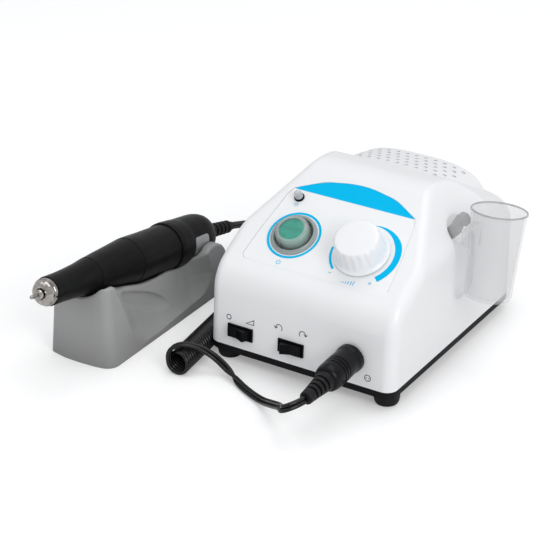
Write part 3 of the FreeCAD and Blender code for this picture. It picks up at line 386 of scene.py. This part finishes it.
# The points of both stretches are those of the CAD, three of the lead raised for the wider twin cord
rear_route = [TAIL_END + TAIL_DIR * 0.15, Vector((-123.0, 131.0, 17.2)), Vector((-123.0, 146.0, 11.9)),
              Vector((-118.5, 160.0, 6.6)), Vector((-106.5, 164.5, 3.4)), Vector((-96.5, 156.0, 2.1)),
              Vector((-94.5, 143.0, 2.0)), Vector((-95.5, 129.0, 2.6)), Vector((-100.5, 116.0, 6.5)),
              Vector((-99.5, 100.5, 12.4)), REAR_EXIT + last_way * 3.0, REAR_EXIT]
first_turn = [Vector((-71.7, -26.9, 12.2)), Vector((-70.2, -25.4, 15.8)), Vector((-66.8, -22.8, 17.4)),
              Vector((-62.8, -19.8, 17.3))]
lead_route = [FRONT_EXIT, FRONT_EXIT - front_way * 7.5, Vector((-46.5, -13.4, 9.4)),
              Vector((-38.5, -13.8, 4.4)), Vector((-27.0, -20.8, 2.6)), Vector((-15.7, -26.4, 2.6)),
              Vector((-4.5, -31.3, 3.4)), Vector((6.5, -39.5, 9.2)), Vector((19.2, -48.9, 16.2)),
              Vector((27.45, -62.7, 23.8)), RELIEF_END + PLUG_AXIS * 4.15, RELIEF_END]
coil_route = []
for i in range(COIL_TURNS * COIL_STEPS, -EXTRA_STEPS - 1, -1):
    coil_route.append(coil_point(i / COIL_STEPS, COIL_R)[0])
FINEST = 0.9
route = smooth_line(rear_route + coil_route + first_turn + lead_route, FINEST)


def nearest(place):
    """Index of the route point nearest to a place."""
    return min(range(len(route)), key=lambda i: (route[i] - place).length)


rear_end = nearest(REAR_EXIT)
lead_start = nearest(FRONT_EXIT)
walked = [0.0]
for i in range(1, len(route)):
    walked.append(walked[-1] + (route[i] - route[i - 1]).length)
UP = Vector((0, 0, 1))
coil_axis = Vector((COIL_SLOPE, -1, 0)).normalized()
UPRIGHT_TO = 12.0
LEVEL_FROM = 50.0
BLEND = 9.0
TWIST_FROM = 20.0
TWIST_TO = 39.0
TILT_BEFORE = math.radians(25.0)
TILT_AFTER = math.radians(-118.0)

flat_ways = []
for i, place in enumerate(route):
    ahead = (route[min(i + 1, len(route) - 1)] - route[max(i - 1, 0)]).normalized()
    level = ahead.cross(UP).normalized()
    if i <= rear_end:
        rolled = math.pi / 2 * (1 - share(walked[i], UPRIGHT_TO, LEVEL_FROM))
        upright = Matrix.Rotation(rolled, 3, ahead) @ level
        flat = upright.lerp(coil_axis, share(walked[i], walked[rear_end] - BLEND, walked[rear_end]))
    elif i < lead_start:
        flat = coil_axis
    else:
        on_lead = walked[i] - walked[lead_start]
        tilt = TILT_BEFORE + (TILT_AFTER - TILT_BEFORE) * share(on_lead, TWIST_FROM, TWIST_TO)
        turned = Matrix.Rotation(tilt, 3, ahead) @ level
        flat = coil_axis.lerp(turned, share(on_lead, 0.0, BLEND))
    flat_ways.append((flat - ahead * flat.dot(ahead)).normalized())

STRAND_SIDES = 12
vertices = []
faces = []
for sign in (-1, 1):
    offset = len(vertices)
    for i, place in enumerate(route):
        ahead = (route[min(i + 1, len(route) - 1)] - route[max(i - 1, 0)]).normalized()
        tall = ahead.cross(flat_ways[i])
        centre = place + flat_ways[i] * (sign * STRAND_GAP)
        for k in range(STRAND_SIDES):
            a = 2 * math.pi * k / STRAND_SIDES
            q = centre + flat_ways[i] * (STRAND_R * math.cos(a)) + tall * (STRAND_R * math.sin(a))
            vertices.append(at(*q))
    for i in range(len(route) - 1):
        for k in range(STRAND_SIDES):
            m = (k + 1) % STRAND_SIDES
            a = offset + i * STRAND_SIDES
            faces.append([a + k, a + m, a + STRAND_SIDES + m, a + STRAND_SIDES + k])
    faces.append([offset + k for k in reversed(range(STRAND_SIDES))])
    faces.append([offset + (len(route) - 1) * STRAND_SIDES + k for k in range(STRAND_SIDES)])
cord = make_piece("twin_cord", vertices, faces, MATERIALS["cord_black"], body=None)
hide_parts("lead_cord", "coil_cord", "handpiece_cord")
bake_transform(cord)

# Cradle: walls round a plan that narrows upwards, scooped sides with a thumb dish,
# and a trough under the handpiece

CR = -123.0
PLAN_TOP_Z = 62.0
PLAN_LOW = [(22.8, -43.4, 7.5), (22.8, 88.0, 9.0), (-23.0, 88.0, 9.0), (-23.0, -43.6, 4.5),
            (-10.0, -46.1, 30.0), (1.0, -46.3, 40.0), (12.0, -45.6, 30.0)]
PLAN_HIGH = [(18.4, -41.0, 6.0), (18.4, 82.0, 8.0), (-18.6, 82.0, 8.0), (-18.6, -41.2, 4.0),
             (-8.0, -42.2, 30.0), (1.0, -42.3, 40.0), (9.6, -42.0, 30.0)]
CORNER_STEPS = 8
SIDE_STEPS = 170
ACROSS_STEPS = 44
WALL_STEPS = 64
LIP_STEPS = 5


def rounded_plan(corners):
    """Plan outline with rounded corners, counted the same way for every list of corners."""
    out = []
    count = len(corners)
    for i in range(count):
        x, y, radius = corners[i]
        corner = Vector((x, y))
        before = (Vector(corners[i - 1][:2]) - corner).normalized()
        after = (Vector(corners[(i + 1) % count][:2]) - corner).normalized()
        half = before.angle(after) / 2
        reach = radius / math.tan(half)
        centre = corner + (before + after).normalized() * (radius / math.sin(half))
        a = corner + before * reach - centre
        b = corner + after * reach - centre
        turn = a.angle(b)
        for k in range(CORNER_STEPS + 1):
            t = k / CORNER_STEPS
            out.append(centre + (a * math.sin((1 - t) * turn) + b * math.sin(t * turn)) / math.sin(turn))
    return out


def along_chain(chain, count):
    """Points spread evenly along a chain."""
    lengths = [0.0]
    for i in range(1, len(chain)):
        lengths.append(lengths[-1] + (chain[i] - chain[i - 1]).length)
    out = []
    i = 1
    for k in range(count + 1):
        want = lengths[-1] * k / count
        while i < len(chain) - 1 and lengths[i] < want:
            i += 1
        t = (want - lengths[i - 1]) / max(1e-9, lengths[i] - lengths[i - 1])
        out.append(chain[i - 1].lerp(chain[i], min(1.0, max(0.0, t))))
    return out


def four_edges(corners):
    """Right, rear, left and front edge of the plan, each split evenly between the corner arcs' middles."""
    loop = rounded_plan(corners)
    per = CORNER_STEPS + 1
    middle = CORNER_STEPS // 2
    marks = [middle, per + middle, 2 * per + middle, 3 * per + middle]
    edges = []
    for k, steps in enumerate((SIDE_STEPS, ACROSS_STEPS, SIDE_STEPS, ACROSS_STEPS)):
        start = marks[k]
        end = marks[(k + 1) % 4]
        chain = loop[start:end + 1] if k < 3 else loop[start:] + loop[:end + 1]
        edges.append(along_chain(chain, steps))
    return edges


def table_value(table, x):
    """Value between the rows of a table, on a straight line from row to row."""
    if x <= table[0][0]:
        return table[0][1]
    for (x0, v0), (x1, v1) in zip(table, table[1:]):
        if x <= x1:
            return v0 + (v1 - v0) * (x - x0) / (x1 - x0)
    return table[-1][1]


RIM = [(-60.0, 50.3), (-37.0, 50.3), (-33.5, 49.4), (-31.0, 47.3), (-27.0, 44.2), (-20.0, 41.2),
       (-11.8, 38.6), (0.0, 34.4), (8.3, 32.3), (23.9, 30.1), (34.5, 28.9), (43.0, 27.4), (50.0, 27.6),
       (56.0, 29.6), (61.0, 32.2), (65.0, 33.6), (69.0, 33.9), (73.0, 33.1), (77.0, 30.6), (80.5, 26.6),
       (83.0, 21.2), (85.5, 16.0), (88.0, 13.0)]
# Edges of the scoop: its lower edge along the side, its front and rear edges up the side
SCOOP_LOW = [(-25.0, 3.0), (5.0, 3.4), (16.0, 4.3), (27.0, 5.1), (37.0, 5.7), (49.0, 6.4), (55.0, 7.6),
             (62.0, 10.0)]
SCOOP_FRONT = [(0.0, -12.0), (5.2, -14.5), (8.2, -16.9), (12.5, -20.3), (17.5, -22.5), (23.7, -24.5),
               (30.4, -26.5), (35.9, -28.6), (39.8, -29.9), (45.6, -32.9), (60.0, -37.0)]
SCOOP_REAR = [(0.0, 52.0), (7.8, 56.0), (9.7, 58.5), (12.8, 61.7), (17.6, 63.5), (23.2, 63.1), (29.7, 60.7),
              (33.1, 58.9), (50.0, 50.0)]
SCOOP_DEEP = [(-30.0, 7.6), (0.0, 7.8), (20.0, 8.4), (40.0, 10.0), (60.0, 9.5)]
SCOOP_RISE = 19.0
SCOOP_FRONT_SOFT = 17.0
SCOOP_REAR_SOFT = 15.0
HAND_RADIUS = [(0.0, 8.8), (8.0, 8.9), (28.0, 10.2), (40.0, 11.5), (56.0, 12.9), (73.0, 14.4), (112.0, 15.5),
               (124.0, 15.1), (144.0, 14.3), (200.0, 14.3)]
DISH_MIDDLE = (0.6, 24.4)
DISH_LONG = 27.5
DISH_WIDE = 6.0
DISH_DEEP = 1.5
DISH_SOFT = 0.45
DISH_NARROW = 0.80
DISH_FLARE = 0.28
SCOOP_INNER = 10.5
DISH_WAY = Vector((0.867, -0.498))
NOTCH_R = 20.0
NOTCH_Z = 62.2
NOTCH_BEFORE = -20.0
NOTCH_SOFT = 2.0
TROUGH_SOFT = 1.2
OUT_OF_REACH = 1e3
BED_GAP = 0.35
LIP_R = 1.6
FIRST_GUESS = 0.55
TOP_TRIES = 3
SPINE_FRONT = -40.0
SPINE_REAR = 76.0


def blend_low(a, b, soft):
    """The lower of two heights with a rounded crease between them."""
    h = max(soft - abs(a - b), 0.0) / soft
    return min(a, b) - h * h * soft / 4


def quarter(t):
    """Quarter of an ellipse: steep at 0, level at 1."""
    t = min(1.0, max(0.0, t))
    return math.sqrt(1.0 - (1.0 - t) ** 2)


def sine_rise(t):
    """Rise from 0 to 1 along a quarter of a sine wave."""
    return math.sin(math.pi / 2 * min(1.0, max(0.0, t)))


def scoop_depth(y, z):
    """How far the cradle's side lies inside its plain wall: the scoop, with the thumb dish pressed in."""
    above = quarter((z - table_value(SCOOP_LOW, y)) / SCOOP_RISE)
    from_front = sine_rise((y - table_value(SCOOP_FRONT, z)) / SCOOP_FRONT_SOFT)
    from_rear = sine_rise((table_value(SCOOP_REAR, z) - y) / SCOOP_REAR_SOFT)
    depth = table_value(SCOOP_DEEP, y) * above * from_front * from_rear
    away = Vector((y - DISH_MIDDLE[0], z - DISH_MIDDLE[1]))
    along = away.dot(DISH_WAY) / DISH_LONG
    across = (away.y * DISH_WAY.x - away.x * DISH_WAY.y) / (DISH_WIDE * (DISH_NARROW + DISH_FLARE * along))
    return depth + DISH_DEEP * quarter((1.0 - math.hypot(along, across)) / DISH_SOFT)


def wall_point(low_point, high_point, z):
    """Point of the cradle wall at a height, in the plan frame of the cradle."""
    t = z / PLAN_TOP_Z
    x = low_point.x + (high_point.x - low_point.x) * t
    y = low_point.y + (high_point.y - low_point.y) * t
    if abs(x) > SCOOP_INNER:
        x = math.copysign(max(SCOOP_INNER, abs(x) - scoop_depth(y, z)), x)
    return Vector((x, y))


def bed_height(x, y):
    """Height of the trough under the handpiece."""
    s = (y - HAND_O.y) / math.cos(HAND_TILT)
    radius = table_value(HAND_RADIUS, s) + BED_GAP
    axis = HAND_O.z - s * math.sin(HAND_TILT)
    if abs(x) >= radius:
        return OUT_OF_REACH
    return axis - math.sqrt(radius ** 2 - x ** 2) / math.cos(HAND_TILT)


def rim_height(x, y):
    """Height of the cradle's upper edge."""
    height = table_value(RIM, y)
    if y < NOTCH_BEFORE and abs(x) < NOTCH_R:
        height = blend_low(height, NOTCH_Z - math.sqrt(NOTCH_R ** 2 - x ** 2), NOTCH_SOFT)
    return height


cradle_vertices = []
cradle_faces = []
low_edges = four_edges(PLAN_LOW)
high_edges = four_edges(PLAN_HIGH)
rings = []
edge_starts = []
for k in range(4):
    edge_starts.append(len(rings))
    for i in range(len(low_edges[k]) - 1):
        rings.append((low_edges[k][i], high_edges[k][i]))
ring_count = len(rings)
levels = WALL_STEPS + LIP_STEPS
for low_point, high_point in rings:
    guess = low_point.lerp(high_point, FIRST_GUESS)
    top = min(rim_height(guess.x, guess.y), bed_height(guess.x, guess.y))
    for _ in range(TOP_TRIES):
        guess = wall_point(low_point, high_point, top)
        top = min(rim_height(guess.x, guess.y), bed_height(guess.x, guess.y))
    inward = Vector((-guess.x, max(SPINE_FRONT, min(SPINE_REAR, guess.y)) - guess.y)).normalized()
    for k in range(WALL_STEPS):
        z = (top - LIP_R) * k / (WALL_STEPS - 1)
        q = wall_point(low_point, high_point, z)
        cradle_vertices.append(Vector((q.x, q.y, z)))
    q = wall_point(low_point, high_point, top - LIP_R)
    for k in range(1, LIP_STEPS + 1):
        a = math.pi / 2 * k / LIP_STEPS
        p = q + inward * (LIP_R * (1 - math.cos(a)))
        cradle_vertices.append(Vector((p.x, p.y, top - LIP_R + LIP_R * math.sin(a))))
for i in range(ring_count):
    j = (i + 1) % ring_count
    for k in range(levels - 1):
        a = i * levels + k
        b = j * levels + k
        cradle_faces.append([a, b, b + 1, a + 1])
cradle_faces.append([i * levels for i in reversed(range(ring_count))])


def rim_index(edge, i):
    """Index of the rim vertex at a step of one of the four edges."""
    return ((edge_starts[edge] + i) % ring_count) * levels + levels - 1


# Upper surface: rows between the four rims
top_index = {}
for i in range(SIDE_STEPS + 1):
    for j in range(ACROSS_STEPS + 1):
        if i == 0:
            top_index[i, j] = rim_index(3, j)
        elif i == SIDE_STEPS:
            top_index[i, j] = rim_index(1, ACROSS_STEPS - j)
        elif j == 0:
            top_index[i, j] = rim_index(2, SIDE_STEPS - i)
        elif j == ACROSS_STEPS:
            top_index[i, j] = rim_index(0, i)
        else:
            s = j / ACROSS_STEPS
            t = i / SIDE_STEPS
            front = cradle_vertices[rim_index(3, j)]
            rear = cradle_vertices[rim_index(1, ACROSS_STEPS - j)]
            left = cradle_vertices[rim_index(2, SIDE_STEPS - i)]
            right = cradle_vertices[rim_index(0, i)]
            corners = [cradle_vertices[rim_index(3, 0)], cradle_vertices[rim_index(3, ACROSS_STEPS)],
                       cradle_vertices[rim_index(1, ACROSS_STEPS)], cradle_vertices[rim_index(1, 0)]]
            q = front * (1 - t) + rear * t + left * (1 - s) + right * s
            front_line = corners[0] * (1 - s) + corners[1] * s
            rear_line = corners[2] * (1 - s) + corners[3] * s
            q -= front_line * (1 - t) + rear_line * t
            z = blend_low(rim_height(q.x, q.y), bed_height(q.x, q.y), TROUGH_SOFT)
            top_index[i, j] = len(cradle_vertices)
            cradle_vertices.append(Vector((q.x, q.y, z)))
for i in range(SIDE_STEPS):
    for j in range(ACROSS_STEPS):
        cradle_faces.append([top_index[i, j], top_index[i, j + 1], top_index[i + 1, j + 1],
                             top_index[i + 1, j]])
cradle_places = [at(CR + v.x, v.y, v.z) for v in cradle_vertices]
cradle = make_piece("cradle_body", cradle_places, cradle_faces, MATERIALS["cradle_grey"],
                    sharp=55.0)
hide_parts("handpiece_cradle")

# Rolled rim of the dust cup

CUP_RIM = Vector((83.0, 82.9, 98.9))
CUP_UP = Vector((0.010, 0.174, 0.985)).normalized()
CUP_RIM_R = 16.1
ROLL_R = 0.55
ROLL_SINK = 0.6
ROLL_STEPS = 96
ROLL_SIDES = 10
CUP_EDGE = material("cup_edge", (0.42, 0.42, 0.43), 0.2, tone=0.2, tone_scale=200.0, alpha=0.55, gloss=0.7)
cup_side = CUP_UP.cross(Vector((1, 0, 0))).normalized()
cup_across = cup_side.cross(CUP_UP)
roll_vertices = []
roll_faces = []
for i in range(ROLL_STEPS):
    angle = 2 * math.pi * i / ROLL_STEPS
    out = cup_side * math.cos(angle) + cup_across * math.sin(angle)
    for k in range(ROLL_SIDES):
        a = 2 * math.pi * k / ROLL_SIDES
        q = CUP_RIM + out * (CUP_RIM_R + ROLL_R * math.cos(a)) + CUP_UP * (ROLL_R * (math.sin(a) - ROLL_SINK))
        roll_vertices.append(at(*q))
        near = i * ROLL_SIDES
        far = ((i + 1) % ROLL_STEPS) * ROLL_SIDES
        m = (k + 1) % ROLL_SIDES
        roll_faces.append([near + k, far + k, far + m, near + m])
make_piece("cup_rolled_rim", roll_vertices, roll_faces, CUP_EDGE, body="cup")

# Printed markings

INK = 0.04
FILM_TOP = -0.35
MITRE_LIMIT = 0.4


def flat_shape(name, outline, place, height, ink):
    """Printed shape: outline points on a face, as one flat polygon."""
    vertices = [place(u, v, height) for u, v in outline]
    return make_piece(name, vertices, [list(range(len(vertices)))], ink, smooth=False)


def band(name, centre, inner, outer, start, end, place, height, ink, steps=72):
    """Printed arc band; inner and outer give the radius at a share of the sweep."""
    vertices = []
    faces = []
    for i in range(steps + 1):
        t = i / steps
        angle = math.radians(start + (end - start) * t)
        for radius in (inner(t), outer(t)):
            u = centre[0] + radius * math.cos(angle)
            v = centre[1] + radius * math.sin(angle)
            vertices.append(place(u, v, height))
    for i in range(steps):
        faces.append([2 * i, 2 * i + 1, 2 * i + 3, 2 * i + 2])
    return make_piece(name, vertices, faces, ink, smooth=False)


def sign_strokes(name, strokes, centre, width, place, height, ink):
    """Small printed sign: each stroke is a chain of points drawn as an even strip with mitred corners."""
    vertices = []
    faces = []
    for stroke in strokes:
        offset = len(vertices)
        points = [Vector(p) for p in stroke]
        closed = (points[0] - points[-1]).length < 1e-6
        for i, p in enumerate(points):
            before = points[i - 1] if i else (points[-2] if closed else None)
            after = points[i + 1] if i + 1 < len(points) else (points[1] if closed else None)
            pair = (p - before if before else None, after - p if after else None)
            ways = [w.normalized() for w in pair if w]
            along = sum(ways, Vector((0, 0))).normalized()
            across = Vector((-along.y, along.x))
            reach = width / 2 / max(MITRE_LIMIT, abs(across.dot(Vector((-ways[0].y, ways[0].x)))))
            for side in (-1, 1):
                q = p + across * (side * reach)
                vertices.append(place(centre[0] + q.x, centre[1] + q.y, height))
        for i in range(len(points) - 1):
            a = offset + 2 * i
            faces.append([a, a + 2, a + 3, a + 1])
    return make_piece(name, vertices, faces, ink, smooth=False)


def arc_points(radius, start, end, steps=16):
    """Points of an arc about the origin, angles in degrees."""
    out = []
    for i in range(steps + 1):
        a = math.radians(start + (end - start) * i / steps)
        out.append((radius * math.cos(a), radius * math.sin(a)))
    return out


CRESCENT_HALF = 40.2
CRESCENT_BASE = 43.1
CRESCENT_RISE = 13.3
CRESCENT_STEPS = 60
radius = (CRESCENT_HALF ** 2 + CRESCENT_RISE ** 2) / (2 * CRESCENT_RISE)
centre_v = CRESCENT_BASE + CRESCENT_RISE - radius
sweep = math.asin(CRESCENT_HALF / radius)
crescent = []
for i in range(CRESCENT_STEPS + 1):
    angle = sweep - 2 * sweep * i / CRESCENT_STEPS
    crescent.append((radius * math.sin(angle), centre_v + radius * math.cos(angle)))
flat_shape("panel_arc_print", crescent, on_panel, FILM_TOP + INK, INK_BLUE)

band("power_ring_print", POWER, lambda t: 14.95, lambda t: 16.5, 0, 360, on_panel, FILM_TOP + INK,
     INK_BLUE, 96)
band("speed_arc_print", SPEED, lambda t: 20.0 - min(1.0, t / 0.4), lambda t: 20.4 + 2.6 * min(1.0, t / 0.45),
     93, -42, on_panel, FILM_TOP + INK, INK_BLUE)
band("speed_start_print", SPEED, lambda t: 18.2, lambda t: 19.7, 182, 231, on_panel, FILM_TOP + INK,
     INK_BLUE, 30)

# Plain signs where the photo has words: power, less and more, a rising scale, a lamp
SIGN = 0.42
power_sign = [arc_points(1.25, 125, 415), [(0, 0.2), (0, 1.7)]]
sign_strokes("power_sign", power_sign, (-24.0, -8.0), SIGN, on_panel, FILM_TOP + INK, INK_LIGHT)
sign_strokes("less_sign", [[(-1.1, 0), (1.1, 0)]], (9.0, -5.4), SIGN, on_panel, FILM_TOP + INK, INK_LIGHT)
sign_strokes("more_sign", [[(-1.1, 0), (1.1, 0)], [(0, -1.1), (0, 1.1)]], (35.0, -5.2), SIGN, on_panel,
             FILM_TOP + INK, INK_LIGHT)
scale_sign = [[(x, -1.2), (x, -1.2 + 0.5 + 0.32 * (x + 4.0))] for x in (-4.0, -2.4, -0.8, 0.8, 2.4, 4.0)]
sign_strokes("speed_sign", scale_sign, (22.0, -8.4), 0.6, on_panel, FILM_TOP + INK, INK_LIGHT)
lamp_sign = [arc_points(0.7, 0, 360)]
for i in range(8):
    a = math.pi * i / 4
    lamp_sign.append([(1.1 * math.cos(a), 1.1 * math.sin(a)), (1.65 * math.cos(a), 1.65 * math.sin(a))])
sign_strokes("lamp_sign", lamp_sign, (-33.6, 32.6), 0.3, on_panel, FILM_TOP + INK, INK_LIGHT)

# Plain signs on the front: a ring and a wedge over the selector, turning arrows over the direction switch,
# a ring with two strokes by the plug
FRONT_SIGN = 0.5
FRONT_INK = 0.05
SIGN_UP = 18.3
sign_strokes("hand_sign", [arc_points(1.5, 0, 360)], (-47.8, SIGN_UP), FRONT_SIGN, on_front, FRONT_INK,
             INK_DARK)
pedal_sign = [[(-2.6, -1.4), (2.6, -1.4), (2.6, 1.6), (-2.6, -1.4)]]
sign_strokes("pedal_sign", pedal_sign, (-33.3, SIGN_UP + 0.5), FRONT_SIGN, on_front, FRONT_INK, INK_DARK)
left_turn = [arc_points(2.1, -40, 190), [(-3.3, 0.7), (-2.1, -0.6), (-0.9, 0.6)]]
right_turn = [arc_points(2.1, -10, 220), [(0.9, 0.6), (2.1, -0.6), (3.3, 0.7)]]
sign_strokes("left_turn_sign", left_turn, (-13.6, SIGN_UP + 2.4), FRONT_SIGN, on_front, FRONT_INK, INK_DARK)
sign_strokes("right_turn_sign", right_turn, (2.2, SIGN_UP + 2.4), FRONT_SIGN, on_front, FRONT_INK, INK_DARK)
outlet_sign = [arc_points(1.9, 0, 360), [(-0.8, -0.4), (-0.8, 0.4)], [(0.8, -0.4), (0.8, 0.4)]]
sign_strokes("outlet_sign", outlet_sign, (45.8, 6.2), FRONT_SIGN, on_front, FRONT_INK, INK_DARK)

# Table and light

FLOOR = 3.0
floor_mesh = bpy.data.meshes.new("table_top")
floor_corners = [(-FLOOR, -FLOOR, 0), (FLOOR, -FLOOR, 0), (FLOOR, FLOOR, 0), (-FLOOR, FLOOR, 0)]
floor_mesh.from_pydata(floor_corners, [], [(0, 1, 2, 3)])
table = material("table_top", (0.80, 0.80, 0.80), 0.6, tone=0.01, tone_scale=6.0, grain=0.0, gloss=0.2)
floor_mesh.materials.append(table)
floor = bpy.data.objects.new("table_top", floor_mesh)
bpy.context.scene.collection.objects.link(floor)


def seen_directly(tree):
    """Socket that is 1 where the camera or a view through glass meets the surface."""
    path = tree.nodes.new("ShaderNodeLightPath")
    either = tree.nodes.new("ShaderNodeMath")
    either.operation = "MAXIMUM"
    tree.links.new(path.outputs["Is Camera Ray"], either.inputs[0])
    tree.links.new(path.outputs["Is Transmission Ray"], either.inputs[1])
    return either.outputs[0]


# The table glows a little where it is seen, so that it is white and still takes the shadow
TABLE_LIFT = 0.26
tree = table.node_tree
lift = tree.nodes.new("ShaderNodeMath")
lift.operation = "MULTIPLY"
lift.inputs[1].default_value = TABLE_LIFT
tree.links.new(seen_directly(tree), lift.inputs[0])
shader = tree.nodes["Principled BSDF"]
shader.inputs["Emission Color"].default_value = (1, 1, 1, 1)
tree.links.new(lift.outputs[0], shader.inputs["Emission Strength"])

world = bpy.data.worlds.new("studio")
bpy.context.scene.world = world
world.use_nodes = True
tree = world.node_tree
AMBIENT = 0.62
light_room = tree.nodes["Background"]
light_room.inputs["Color"].default_value = (0.97, 0.98, 1.0, 1)
light_room.inputs["Strength"].default_value = AMBIENT
white_room = tree.nodes.new("ShaderNodeBackground")
white_room.inputs["Color"].default_value = (1, 1, 1, 1)
white_room.inputs["Strength"].default_value = 1.0
choose = tree.nodes.new("ShaderNodeMixShader")
tree.links.new(seen_directly(tree), choose.inputs["Fac"])
tree.links.new(light_room.outputs["Background"], choose.inputs[1])
tree.links.new(white_room.outputs["Background"], choose.inputs[2])
tree.links.new(choose.outputs["Shader"], tree.nodes["World Output"].inputs["Surface"])


def soft_light(name, place, aim, width, height, power):
    """Rectangular studio light aimed at a point."""
    data = bpy.data.lights.new(name, "AREA")
    data.shape = "RECTANGLE"
    data.size = width
    data.size_y = height
    data.energy = power
    lamp = bpy.data.objects.new(name, data)
    bpy.context.scene.collection.objects.link(lamp)
    lamp.location = place
    lamp.rotation_mode = "QUATERNION"
    lamp.rotation_quaternion = (Vector(aim) - Vector(place)).to_track_quat("-Z", "Y")


soft_light("key_light", (-0.9, -0.9, 1.5), (0, 0, 0.05), 1.2, 1.0, 3.0)
soft_light("side_light", (1.3, -0.75, 0.95), (0, 0, 0.05), 0.7, 0.9, 9.5)
soft_light("top_light", (0.1, 0.4, 1.8), (0, 0, 0.05), 1.6, 1.0, 8.5)

scene = bpy.context.scene
scene.view_settings.view_transform = "Standard"
